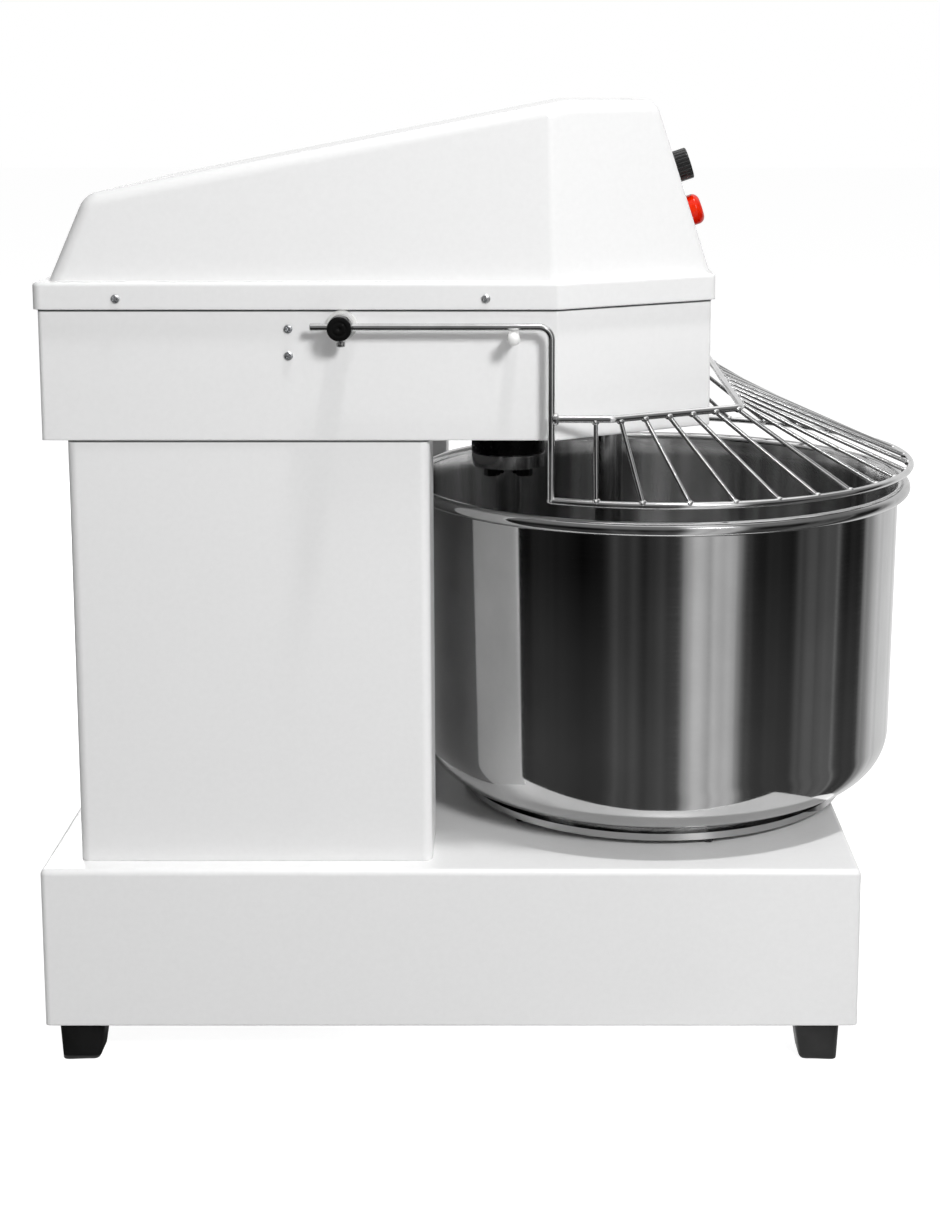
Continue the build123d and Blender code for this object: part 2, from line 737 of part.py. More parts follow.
# Bolts of the spiral housing, the motor, the gearmotor and the bowl housing.
bolt_seats = [face_at(x, y, casing_floor + housing_flange, up) for x, y in housing_bolts]
for x, y in motor_bolts:
    bolt_seats.append(face_at(x, y, casing_floor, up))
for x, y in gearbox_bolts:
    bolt_seats.append(face_at(x, y, base_top, up))
for x, y in bowl_housing_bolts:
    bolt_seats.append(face_at(x, y, base_inside_top - bowl_housing_flange, down))
with BuildPart() as frame_bolts:
    for seat in bolt_seats:
        hex_bolt(seat, bolt_head_radius, bolt_head_height, bolt_radius, bolt_length)
frame_bolts.part.label = "frame_bolts"
export_step(frame_bolts.part, "parts/frame_bolts.step")

# Bowl spun from sheet, with a rolled rim and a doubled floor.
bowl_axis = Axis((bowl_axis_x, 0, 0), (0, 0, 1))
bowl_bolt_places = on_circle(bowl_axis_x, bowl_bolt_pitch_radius, bowl_bolt_count, 0)
with BuildPart() as bowl:
    with BuildSketch(section_plane(bowl_axis_x)) as bowl_section:
        Polygon(
            (0, bowl_bottom),
            (bowl_lower_radius, bowl_bottom),
            (bowl_rim_radius, rim_z),
            (bowl_rim_radius - bowl_wall, rim_z),
            (bowl_lower_radius - bowl_wall, bowl_floor_top),
            (0, bowl_floor_top),
            align=None,
        )
        for reach, height, radius in (
            (bowl_lower_radius, bowl_bottom, bowl_corner_radius),
            (bowl_lower_radius - bowl_wall, bowl_floor_top, bowl_inner_corner_radius),
        ):
            corner = bowl_section.vertices().sort_by_distance((reach, height))[0]
            fillet(corner, radius)
        with Locations((bead_centre_radius, rim_z)):
            Circle(bead_radius)
    revolve(axis=bowl_axis)
    for x, y in bowl_bolt_places:
        bore(face_at(x, y, bowl_bottom, down), bolt_radius + bolt_thread_gap, bowl_bolt_bite)
bowl.part.label = "bowl"
export_step(bowl.part, "parts/bowl.step")

# Ring under the bowl, with a narrower web between it and the bowl.
ring_screw_places = on_circle(bowl_axis_x, ring_screw_pitch_radius, ring_screw_count, ring_screw_start)
with BuildPart() as bowl_foot_ring:
    tube(face_at(bowl_axis_x, 0, foot_ring_bottom, up), foot_ring_radius, foot_ring_inner_radius,
         foot_ring_thickness)
    tube(face_at(bowl_axis_x, 0, foot_ring_top, up), foot_ring_web_radius, foot_ring_inner_radius,
         foot_ring_web_height)
    for x, y in ring_screw_places:
        bore(face_at(x, y, foot_ring_bottom, down), ring_screw_radius + bolt_thread_gap, foot_ring_thickness)
bowl_foot_ring.part.label = "bowl_foot_ring"
export_step(bowl_foot_ring.part, "parts/bowl_foot_ring.step")

with BuildPart() as bowl_ring_screws:
    for x, y in ring_screw_places:
        rod(face_at(x, y, foot_ring_bottom, down), ring_screw_head_radius, ring_screw_head_height)
        rod(face_at(x, y, foot_ring_bottom, up), ring_screw_radius, foot_ring_thickness)
bowl_ring_screws.part.label = "bowl_ring_screws"
export_step(bowl_ring_screws.part, "parts/bowl_ring_screws.step")

# Bowl shaft with the hub flange that carries the bowl.
with BuildPart() as bowl_shaft:
    rod(face_at(bowl_axis_x, 0, bowl_hub_bottom, up), bowl_hub_radius, bowl_hub_thickness)
    rod(face_at(bowl_axis_x, 0, bowl_hub_bottom, down), bowl_shaft_radius,
        bowl_hub_bottom - bowl_pulley_bottom)
    for x, y in bowl_bolt_places:
        bore(face_at(x, y, bowl_bottom, up), bolt_radius + bolt_hole_gap, bowl_hub_thickness)
bowl_shaft.part.label = "bowl_shaft"
export_step(bowl_shaft.part, "parts/bowl_shaft.step")

with BuildPart() as bowl_bolts:
    for x, y in bowl_bolt_places:
        hex_bolt(face_at(x, y, bowl_hub_bottom, down), bolt_head_radius, bolt_head_height, bolt_radius,
                 bowl_hub_thickness + bowl_bolt_bite)
bowl_bolts.part.label = "bowl_bolts"
export_step(bowl_bolts.part, "parts/bowl_bolts.step")

# Bearing housing of the bowl, hung under the base top, with a bearing at each end.
upper_bowl_bearing_top = base_inside_top - bowl_bearing_recess
lower_bowl_bearing_bottom = bowl_housing_bottom + bowl_bearing_recess
with BuildPart() as bowl_bearing_housing:
    rod(face_at(bowl_axis_x, 0, base_inside_top, down), bowl_housing_flange_radius, bowl_housing_flange)
    rod(face_at(bowl_axis_x, 0, base_inside_top, down), bowl_housing_radius, bowl_housing_length)
    bore(face_at(bowl_axis_x, 0, base_inside_top, up), bowl_bearing_radius - bowl_bearing_shoulder,
         bowl_housing_length)
    bore(face_at(bowl_axis_x, 0, base_inside_top, up), bowl_bearing_radius,
         bowl_bearing_recess + bowl_bearing_width)
    bore(face_at(bowl_axis_x, 0, bowl_housing_bottom, down), bowl_bearing_radius,
         bowl_bearing_recess + bowl_bearing_width)
    for x, y in bowl_housing_bolts:
        bore(face_at(x, y, base_inside_top, up), bolt_radius + bolt_hole_gap, bowl_housing_flange)
bowl_bearing_housing.part.label = "bowl_bearing_housing"
export_step(bowl_bearing_housing.part, "parts/bowl_bearing_housing.step")

for name, bottom in (
    ("bowl_bearing_upper", upper_bowl_bearing_top - bowl_bearing_width),
    ("bowl_bearing_lower", lower_bowl_bearing_bottom),
):
    with BuildPart() as bowl_bearing:
        tube(face_at(bowl_axis_x, 0, bottom, up), bowl_bearing_radius, bowl_shaft_radius + running_gap,
             bowl_bearing_width)
    bowl_bearing.part.label = name
    export_step(bowl_bearing.part, f"parts/{name}.step")

with BuildPart() as bowl_pulley:
    pulley(bowl_axis_x, bowl_pulley_bottom, bowl_pulley_radius, bowl_pulley_hub_radius, bowl_shaft_radius)
bowl_pulley.part.label = "bowl_pulley"
export_step(bowl_pulley.part, "parts/bowl_pulley.step")

# Gearmotor hung under the base top; its motor stands up into the column.
gearbox_bottom = base_inside_top - gearbox_height
with BuildPart() as bowl_gearmotor:
    with BuildSketch(face_at(gearmotor_x, 0, gearbox_bottom, up)):
        RectangleRounded(gearbox_side, gearbox_side, gearbox_edge_radius)
    extrude(amount=gearbox_height)
    rod(face_at(gearmotor_x, 0, base_inside_top, up), gearmotor_radius, gearmotor_height)
    bore(face_at(gearmotor_x, 0, gearbox_bottom, down), gearmotor_shaft_radius + running_gap,
         gearmotor_shaft_seat + running_gap)
    for x, y in gearbox_bolts:
        bore(face_at(x, y, base_inside_top, up), bolt_radius + bolt_thread_gap, bolt_length)
bowl_gearmotor.part.label = "bowl_gearmotor"
export_step(bowl_gearmotor.part, "parts/bowl_gearmotor.step")

with BuildPart() as gearmotor_shaft:
    rod(face_at(gearmotor_x, 0, bowl_pulley_bottom, up), gearmotor_shaft_radius,
        gearbox_bottom + gearmotor_shaft_seat - bowl_pulley_bottom)
gearmotor_shaft.part.label = "gearmotor_shaft"
export_step(gearmotor_shaft.part, "parts/gearmotor_shaft.step")

with BuildPart() as gearmotor_pulley:
    pulley(gearmotor_x, bowl_pulley_bottom, gearmotor_pulley_radius, gearmotor_pulley_radius,
           gearmotor_shaft_radius)
gearmotor_pulley.part.label = "gearmotor_pulley"
export_step(gearmotor_pulley.part, "parts/gearmotor_pulley.step")

with BuildPart() as bowl_belt:
    belt(bowl_pulley_bottom, bowl_axis_x, bowl_pulley_radius, gearmotor_x, gearmotor_pulley_radius)
bowl_belt.part.label = "bowl_belt"
export_step(bowl_belt.part, "parts/bowl_belt.step")

# Spiral bearing housing: a drum under the head, with its flange on the casing floor.
spiral_shaft_flange_top = spiral_flange_top + spiral_shaft_flange
spiral_lower_bearing_bottom = spiral_shaft_flange_top + spiral_shaft_flange_gap + spiral_bearing_lip
with BuildPart() as spiral_bearing_housing:
    rod(face_at(spiral_axis_x, 0, housing_bottom, up), housing_radius, housing_top - housing_bottom)
    rod(face_at(spiral_axis_x, 0, casing_floor, up), housing_flange_radius, housing_flange)
    bore(face_at(spiral_axis_x, 0, housing_top, up), spiral_bearing_radius - spiral_bearing_lip,
         housing_top - housing_bottom)
    bore(face_at(spiral_axis_x, 0, housing_top, up), spiral_bearing_radius, spiral_bearing_width)
    bore(face_at(spiral_axis_x, 0, housing_bottom, down),
         spiral_shaft_flange_radius + spiral_shaft_flange_gap, spiral_lower_bearing_bottom - housing_bottom)
    bore(face_at(spiral_axis_x, 0, spiral_lower_bearing_bottom, down), spiral_bearing_radius,
         spiral_bearing_width)
    for x, y in housing_bolts:
        bore(face_at(x, y, casing_floor + housing_flange, up), bolt_radius + bolt_thread_gap, housing_flange)
spiral_bearing_housing.part.label = "spiral_bearing_housing"
export_step(spiral_bearing_housing.part, "parts/spiral_bearing_housing.step")

for name, bottom in (
    ("spiral_bearing_lower", spiral_lower_bearing_bottom),
    ("spiral_bearing_upper", housing_top - spiral_bearing_width),
):
    with BuildPart() as spiral_bearing:
        tube(face_at(spiral_axis_x, 0, bottom, up), spiral_bearing_radius, spiral_shaft_radius + running_gap,
             spiral_bearing_width)
    spiral_bearing.part.label = name
    export_step(spiral_bearing.part, f"parts/{name}.step")

# Spiral shaft, whose flange takes the spiral's bolts.
spiral_bolt_places = on_circle(spiral_axis_x, spiral_bolt_pitch_radius, spiral_bolt_count, 45)
with BuildPart() as spiral_shaft:
    rod(face_at(spiral_axis_x, 0, spiral_flange_top, up), spiral_shaft_flange_radius, spiral_shaft_flange)
    rod(face_at(spiral_axis_x, 0, spiral_flange_top, up), spiral_shaft_radius,
        spiral_shaft_top - spiral_flange_top)
    for x, y in spiral_bolt_places:
        bore(face_at(x, y, spiral_flange_top, down), bolt_radius + bolt_thread_gap, spiral_shaft_flange)
spiral_shaft.part.label = "spiral_shaft"
export_step(spiral_shaft.part, "parts/spiral_shaft.step")

# Spiral: a round bar that leaves its flange on the axis and winds down into the bowl.
spiral_coil_top = spiral_flange_bottom - spiral_coil_top_drop
spiral_coil_bottom = bowl_floor_top + spiral_floor_gap + spiral_rod_radius
spiral_points = [
    (spiral_axis_x, 0, spiral_flange_bottom),
    (spiral_axis_x, 0, spiral_flange_bottom - spiral_neck),
]
for step in range(spiral_steps + 1):
    turn = radians(spiral_start_angle + step * spiral_step_angle)
    height = spiral_coil_top - step * (spiral_coil_top - spiral_coil_bottom) / spiral_steps
    reach = min(spiral_coil_radius, spiral_toe_radius + spiral_toe_step * (spiral_steps - step))
    if step == 0:
        reach = spiral_lead_radius
    spiral_points.append((spiral_axis_x + reach * cos(turn), reach * sin(turn), height))
spiral_bends = [spiral_lead_bend_radius] * 3 + [spiral_bend_radius] * (spiral_steps - 2)
with BuildPart() as spiral_hook:
    with BuildLine() as spiral_path:
        FilletPolyline(*spiral_points, radius=spiral_bends)
    with BuildSketch(face_at(spiral_axis_x, 0, spiral_flange_bottom, down)):
        Circle(spiral_rod_radius)
    sweep(path=spiral_path.wires()[0])
    rod(face_at(spiral_axis_x, 0, spiral_flange_bottom, up), spiral_flange_radius, spiral_flange_thickness)
    for x, y in spiral_bolt_places:
        bore(face_at(x, y, spiral_flange_top, up), bolt_radius + bolt_hole_gap, spiral_flange_thickness)
spiral_hook.part.label = "spiral_hook"
export_step(spiral_hook.part, "parts/spiral_hook.step")

with BuildPart() as spiral_flange_bolts:
    for x, y in spiral_bolt_places:
        hex_bolt(face_at(x, y, spiral_flange_bottom, down), spiral_bolt_head_radius, spiral_bolt_head_height,
                 bolt_radius, spiral_bolt_grip)
spiral_flange_bolts.part.label = "spiral_flange_bolts"
export_step(spiral_flange_bolts.part, "parts/spiral_flange_bolts.step")

with BuildPart() as spiral_pulley:
    pulley(spiral_axis_x, spiral_pulley_bottom, spiral_pulley_radius, spiral_pulley_hub_radius,
           spiral_shaft_radius)
spiral_pulley.part.label = "spiral_pulley"
export_step(spiral_pulley.part, "parts/spiral_pulley.step")

# Motor hung under the head, inside the column.
with BuildPart() as motor:
    rod(face_at(motor_x, 0, column_top, down), motor_radius, motor_flange + motor_length)
    fillet(motor.edges().group_by(Axis.Z)[0], motor_edge_radius)
    rod(face_at(motor_x, 0, column_top, down), motor_flange_radius, motor_flange)
    bore(face_at(motor_x, 0, column_top, up), motor_shaft_radius + running_gap,
         motor_shaft_seat + running_gap)
    for x, y in motor_bolts:
        bore(face_at(x, y, column_top, up), bolt_radius + bolt_thread_gap,
             bolt_length - head_sheet + bolt_thread_gap)
motor.part.label = "motor"
export_step(motor.part, "parts/motor.step")

with BuildPart() as motor_shaft:
    rod(face_at(motor_x, 0, column_top - motor_shaft_seat, up), motor_shaft_radius,
        spiral_pulley_bottom + pulley_width - column_top + motor_shaft_seat)
motor_shaft.part.label = "motor_shaft"
export_step(motor_shaft.part, "parts/motor_shaft.step")

with BuildPart() as motor_pulley:
    pulley(motor_x, spiral_pulley_bottom, motor_pulley_radius, motor_pulley_radius, motor_shaft_radius)
motor_pulley.part.label = "motor_pulley"
export_step(motor_pulley.part, "parts/motor_pulley.step")

with BuildPart() as spiral_belt:
    belt(spiral_pulley_bottom, spiral_axis_x, spiral_pulley_radius, motor_x, motor_pulley_radius)
spiral_belt.part.label = "spiral_belt"
export_step(spiral_belt.part, "parts/spiral_belt.step")

# Breaker bar: fixed under the head by its stud and nut.
with BuildPart() as breaker_bar:
    rod(face_at(breaker_x, 0, breaker_bottom, up), breaker_radius, column_top - breaker_bottom)
    fillet(breaker_bar.edges().group_by(Axis.Z)[0], breaker_end_radius)
    rod(face_at(breaker_x, 0, column_top, up), breaker_stud_radius, breaker_stud_length)
breaker_bar.part.label = "breaker_bar"
export_step(breaker_bar.part, "parts/breaker_bar.step")

with BuildPart() as breaker_bar_nut:
    with BuildSketch(face_at(breaker_x, 0, casing_floor, up)):
        RegularPolygon(breaker_nut_radius, 6)
        Circle(breaker_stud_radius + bolt_thread_gap, mode=Mode.SUBTRACT)
    extrude(amount=breaker_nut_height)
breaker_bar_nut.part.label = "breaker_bar_nut"
export_step(breaker_bar_nut.part, "parts/breaker_bar_nut.step")

# Guard shaft across the head, drilled for the arms and their set screws.
guard_shaft_end = head_side + guard_shaft_overhang
set_screw_seat = guard_pivot_z - guard_rod_radius - set_screw_reach
with BuildPart() as guard_shaft:
    rod(face_at(guard_pivot_x, -guard_shaft_end, guard_pivot_z, (0, 1, 0)), guard_shaft_radius,
        2 * guard_shaft_end)
    for side, side_name in sides:
        arm_y = side * guard_arm_y
        bore(face_at(guard_pivot_x + guard_shaft_radius, arm_y, guard_pivot_z, (1, 0, 0)),
             guard_rod_radius + guard_rod_gap, 2 * guard_shaft_radius)
        bore(face_at(guard_pivot_x, arm_y, guard_pivot_z - guard_shaft_radius, down),
             set_screw_radius + bolt_thread_gap, guard_shaft_radius)
guard_shaft.part.label = "guard_shaft"
export_step(guard_shaft.part, "parts/guard_shaft.step")

with BuildPart() as guard_set_screws:
    for side, side_name in sides:
        seat = face_at(guard_pivot_x, side * guard_arm_y, set_screw_seat, down)
        rod(seat, set_screw_head_radius, set_screw_head_height)
        rod(seat.offset(-set_screw_reach), set_screw_radius, set_screw_reach)
guard_set_screws.part.label = "guard_set_screws"
export_step(guard_set_screws.part, "parts/guard_set_screws.step")

for side, side_name in sides:
    outward = (0, side, 0)
    # Bush in the casing wall.
    with BuildPart() as guard_bush:
        bush_seat = face_at(guard_pivot_x, side * head_side, guard_pivot_z, outward)
        rod(bush_seat, guard_bush_flange_radius, guard_bush_flange)
        rod(bush_seat.offset(-guard_bush_length), guard_bush_radius, guard_bush_length)
        bore(bush_seat.offset(guard_bush_flange), guard_shaft_radius + running_gap,
             guard_bush_flange + guard_bush_length)
    guard_bush.part.label = f"guard_bush_{side_name}"
    export_step(guard_bush.part, f"parts/guard_bush_{side_name}.step")

    # Black cap pushed over the end of the shaft.
    with BuildPart() as guard_cap:
        cap_seat = face_at(guard_pivot_x, side * guard_shaft_end, guard_pivot_z, outward)
        rod(cap_seat.offset(guard_cap_cover - guard_cap_length), guard_cap_radius, guard_cap_length)
        bore(cap_seat, guard_shaft_radius, guard_cap_length - guard_cap_cover)
    guard_cap.part.label = f"guard_cap_{side_name}"
    export_step(guard_cap.part, f"parts/guard_cap_{side_name}.step")

    # Arm: along the head, round the bend, down and in to the end of the ring.
    with BuildPart() as guard_arm:
        arm_y = side * guard_arm_y
        with BuildLine() as arm_path:
            FilletPolyline(
                (guard_pivot_x - guard_arm_tail, arm_y, guard_pivot_z),
                (guard_arm_front_x, arm_y, guard_pivot_z),
                (guard_arm_front_x, arm_y, guard_ring_z + guard_arm_toe),
                (guard_arm_front_x, side * guard_ring_end_y, guard_ring_z),
                radius=[guard_arm_bend_radius, guard_arm_toe_bend_radius],
            )
        with BuildSketch(face_at(guard_pivot_x - guard_arm_tail, arm_y, guard_pivot_z, (1, 0, 0))):
            Circle(guard_rod_radius)
        sweep(path=arm_path.wires()[0])
    guard_arm.part.label = f"guard_arm_{side_name}"
    export_step(guard_arm.part, f"parts/guard_arm_{side_name}.step")

    # Peg that the arm rests on when the guard is down.
    with BuildPart() as rest_peg:
        peg_seat = face_at(peg_x, side * head_side, peg_z, outward)
        rod(peg_seat, peg_radius, peg_length)
        outer_edges = rest_peg.edges().filter_by(GeomType.CIRCLE).sort_by(Axis.Y)
        fillet(outer_edges[0] if side < 0 else outer_edges[-1], peg_end_radius)
        rod(peg_seat.offset(-peg_spigot_length), peg_spigot_radius, peg_spigot_length)
    rest_peg.part.label = f"rest_peg_{side_name}"
    export_step(rest_peg.part, f"parts/rest_peg_{side_name}.step")

# Outer ring of the guard, round the front of the bowl rim.
with BuildPart() as guard_outer_ring:
    with BuildLine(Plane.XY.offset(guard_ring_z)) as ring_path:
        CenterArc((bowl_axis_x, 0), guard_ring_radius, -guard_ring_end, 2 * guard_ring_end)
    with BuildSketch(Plane(origin=ring_path.line @ 0, z_dir=ring_path.line % 0)):
        Circle(guard_rod_radius)
    sweep(path=ring_path.line)
guard_outer_ring.part.label = "guard_outer_ring"
export_step(guard_outer_ring.part, "parts/guard_outer_ring.step")

# Inner rod of the guard, bent round the nose of the head.
guard_inner_half = guard_inner_front_width / 2
guard_inner_start = guard_arm_front_x + guard_rod_radius - guard_bar_bite
with BuildPart() as guard_inner_rod:
    with BuildLine() as inner_path:
        FilletPolyline(
            (guard_inner_start, -guard_arm_y, guard_inner_z),
            (guard_inner_corner_x, -guard_arm_y, guard_inner_z),
            (guard_inner_front_x, -guard_inner_half, guard_inner_z),
            (guard_inner_front_x, guard_inner_half, guard_inner_z),
            (guard_inner_corner_x, guard_arm_y, guard_inner_z),
            (guard_inner_start, guard_arm_y, guard_inner_z),
            radius=guard_inner_bend_radius,
        )
    with BuildSketch(face_at(guard_inner_start, -guard_arm_y, guard_inner_z, (1, 0, 0))):
        Circle(guard_rod_radius)
    sweep(path=inner_path.wires()[0])
guard_inner_rod.part.label = "guard_inner_rod"
export_step(guard_inner_rod.part, "parts/guard_inner_rod.step")

# Straight bars welded between the two: side bars to the slanting legs, front bars to the front leg.
guard_bar_ends = []
for step in range(guard_side_bars):
    inner_x = guard_first_bar_x + step * guard_side_bar_pitch
    leg_share = max(0, (inner_x - guard_inner_corner_x) / (guard_inner_front_x - guard_inner_corner_x))
    inner_y = guard_arm_y - leg_share * (guard_arm_y - guard_inner_half)
    guard_bar_ends.append((inner_x, inner_y))
for step in range(guard_front_bars, -1, -1):
    guard_bar_ends.append((guard_inner_front_x, step * guard_front_bar_pitch))

with BuildPart() as guard_bars:
    for step, (inner_x, inner_y) in enumerate(guard_bar_ends):
        turn = radians((len(guard_bar_ends) - 1 - step) * guard_bar_pitch_angle)
        for side in (-1, 1) if inner_y > 0 else (1,):
            outer_end = Vector(bowl_axis_x + guard_ring_radius * cos(turn),
                               side * guard_ring_radius * sin(turn), guard_ring_z)
            inner_end = Vector(inner_x, side * inner_y, guard_inner_z)
            along = (inner_end - outer_end).normalized()
            trim = guard_rod_radius - guard_bar_bite
            rod(Plane(origin=outer_end + along * trim, z_dir=along), guard_bar_radius,
                (inner_end - outer_end).length - 2 * trim)
guard_bars.part.label = "guard_bars"
export_step(guard_bars.part, "parts/guard_bars.step")

# Guard switch inside the casing wall, and the magnet collar on the shaft that works it.
switch_mid = column_top + (switch_upper_rise + switch_lower_rise) / 2
with BuildPart() as guard_switch:
    switch_seat = Plane(
        origin=(switch_x, head_sheet - head_side, switch_mid), x_dir=(1, 0, 0), z_dir=(0, 1, 0)
    )
    with BuildSketch(switch_seat):
        Rectangle(switch_width, switch_length)
    extrude(amount=switch_depth)
    for z in switch_screw_levels:
        bore(face_at(switch_x, head_sheet - head_side, z, (0, -1, 0)), screw_radius + bolt_thread_gap,
             screw_length - head_sheet)
guard_switch.part.label = "guard_switch"
export_step(guard_switch.part, "parts/guard_switch.step")

with BuildPart() as guard_magnet:
    collar_seat = Plane(
        origin=(guard_pivot_x, head_sheet + guard_bush_length - head_side + magnet_wall_gap, guard_pivot_z),
        x_dir=(-1, 0, 0), z_dir=(0, 1, 0),
    )
    with BuildSketch(collar_seat):
        Circle(magnet_collar_radius)
        with Locations((magnet_tab_reach / 2, 0)):
            Rectangle(magnet_tab_reach, magnet_tab_width)
        Circle(guard_shaft_radius, mode=Mode.SUBTRACT)
    extrude(amount=magnet_collar_length)
guard_magnet.part.label = "guard_magnet"
export_step(guard_magnet.part, "parts/guard_magnet.step")

# Selector switch: bezel and barrel fixed in the panel, ribbed knob with its spindle.
selector_face = panel_plane(selector_up_panel)
with BuildPart() as selector_body:
    rod(selector_face, selector_bezel_radius, selector_bezel_height)
    rod(selector_face.offset(-control_barrel_length), control_barrel_radius, control_barrel_length)
    bore(selector_face.offset(selector_bezel_height), selector_spindle_radius + running_gap,
         selector_spindle_length + running_gap)
selector_body.part.label = "selector_body"
export_step(selector_body.part, "parts/selector_body.step")

with BuildPart() as selector_knob:
    knob_face = selector_face.offset(selector_bezel_height + selector_knob_gap)
    rod(knob_face, selector_knob_radius, selector_knob_height)
    knob_top = knob_face.offset(selector_knob_height)
    knob_edges = selector_knob.edges().filter_by(GeomType.CIRCLE)
    fillet(knob_edges.sort_by_distance(knob_top.origin)[0], selector_knob_edge_radius)
    with BuildSketch(knob_face):
        with PolarLocations(selector_knob_radius, selector_rib_count):
            Circle(selector_rib_radius)
    extrude(amount=selector_knob_height, mode=Mode.SUBTRACT)
    rod(selector_face.offset(selector_bezel_height - selector_spindle_length), selector_spindle_radius,
        selector_spindle_length + selector_knob_gap)
selector_knob.part.label = "selector_knob"
export_step(selector_knob.part, "parts/selector_knob.step")

# Stop button: collar and barrel fixed in the panel, domed button on a stem that slides in them.
stop_face = panel_plane(stop_up_panel)
stop_button_foot = stop_collar_floor + running_gap + stop_travel
with BuildPart() as stop_button_body:
    rod(stop_face, stop_collar_radius, stop_collar_height)
    rod(stop_face.offset(-control_barrel_length), control_barrel_radius, control_barrel_length)
    bore(stop_face.offset(stop_collar_height), stop_button_radius + stop_button_gap,
         stop_collar_height - stop_collar_floor)
    bore(stop_face.offset(stop_collar_height), stop_stem_radius + running_gap,
         stop_collar_height + stop_stem_length)
stop_button_body.part.label = "stop_button_body"
export_step(stop_button_body.part, "parts/stop_button_body.step")

with BuildPart() as stop_button:
    rod(stop_face.offset(stop_button_foot), stop_button_radius, stop_button_height)
    stop_button_top = stop_face.offset(stop_button_foot + stop_button_height)
    button_edges = stop_button.edges().filter_by(GeomType.CIRCLE)
    fillet(button_edges.sort_by_distance(stop_button_top.origin)[0], stop_button_edge_radius)
    rod(stop_face.offset(stop_travel + running_gap - stop_stem_length), stop_stem_radius,
        stop_stem_length + stop_collar_floor)
stop_button.part.label = "stop_button"
export_step(stop_button.part, "parts/stop_button.step")
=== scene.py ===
from math import radians

import bpy
import numpy as np
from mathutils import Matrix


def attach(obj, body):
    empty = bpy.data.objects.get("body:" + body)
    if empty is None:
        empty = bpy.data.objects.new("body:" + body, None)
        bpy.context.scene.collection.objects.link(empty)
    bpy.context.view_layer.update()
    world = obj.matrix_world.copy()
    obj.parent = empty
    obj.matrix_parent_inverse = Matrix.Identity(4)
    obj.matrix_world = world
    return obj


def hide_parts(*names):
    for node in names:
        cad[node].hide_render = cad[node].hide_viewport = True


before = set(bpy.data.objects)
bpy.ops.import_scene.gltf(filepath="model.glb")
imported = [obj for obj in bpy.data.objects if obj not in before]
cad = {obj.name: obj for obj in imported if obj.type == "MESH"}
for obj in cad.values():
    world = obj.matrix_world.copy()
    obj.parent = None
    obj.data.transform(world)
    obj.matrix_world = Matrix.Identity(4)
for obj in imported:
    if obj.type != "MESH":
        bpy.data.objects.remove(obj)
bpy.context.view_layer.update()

scene = bpy.context.scene
scene.view_settings.view_transform = "Standard"


# The studio. A wide pale floor meets a white room that gives even light. Of three soft round lamps, one
# stands high at the front right, a small one hangs overhead and one lights the back. The camera stands level
# with the head and looks a little down.
def grid_faces(rows, columns, wrap_columns=False):
    """Corner numbers of the four-sided faces between neighbours on a grid of rows by columns. Wrapped
    columns join the last one to the first."""
    row = np.arange(rows - 1)[:, None]
    column = np.arange(columns if wrap_columns else columns - 1)[None, :]
    next_row, next_column = row + 1, (column + 1) % columns
    corners = (row * columns + column, row * columns + next_column,
               next_row * columns + next_column, next_row * columns + column)
    return np.stack(np.broadcast_arrays(*corners), -1).reshape(-1, 4)


def make_piece(name, points, *faces, sharp=35):
    """Mesh object from an array of points and arrays of face corners. Faces are turned to point outwards by
    the sign of the volume they enclose, and edges steeper than the sharp angle stay crisp."""
    points = np.asarray(points, float).reshape(-1, 3)
    middle = points.mean(0)
    volume = 0.0
    for group in faces:
        for corner in range(1, group.shape[1] - 1):
            a, b, c = (points[group[:, index]] - middle for index in (0, corner, corner + 1))
            volume += np.einsum("ij,ij->", a, np.cross(b, c))
    corners = [corner for group in faces for corner in (group[:, ::-1] if volume < 0 else group).tolist()]
    mesh = bpy.data.meshes.new(name)
    mesh.from_pydata(points.tolist(), [], corners)
    mesh.shade_smooth()
    mesh.set_sharp_from_angle(angle=radians(sharp))
    piece = bpy.data.objects.new(name, mesh)
    scene.collection.objects.link(piece)
    return piece


def bare_tree(owner):
    """Empty node tree of a material or a world."""
    owner.use_nodes = True
    owner.node_tree.nodes.clear()
    return owner.node_tree


def node(tree, kind, inputs, **settings):
    """New shader node. An input is linked where a socket is given, and set to a constant otherwise."""
    made = tree.nodes.new("ShaderNode" + kind)
    for name, value in settings.items():
        setattr(made, name, value)
    for key, value in inputs.items():
        if isinstance(value, bpy.types.NodeSocket):
            tree.links.new(value, made.inputs[key])
        else:
            made.inputs[key].default_value = value
    return made


def seen_plainly(tree):
    """1 for rays from the camera, off gloss or through glass, and 0 for those that carry light."""
    rays = node(tree, "LightPath", {}).outputs
    seen = node(tree, "Math", {0: rays["Is Camera Ray"], 1: rays["Is Glossy Ray"]}, operation="MAXIMUM")
    either = {0: seen.outputs[0], 1: rays["Is Transmission Ray"]}
    return node(tree, "Math", either, operation="MAXIMUM").outputs[0]


floor_half, floor_lines = 20.0, 15
span = np.linspace(-floor_half, floor_half, floor_lines)
floor_points = np.stack(np.broadcast_arrays(span[:, None], span[None, :], 0.0), -1)
floor = make_piece("studio_floor", floor_points, grid_faces(floor_lines, floor_lines))

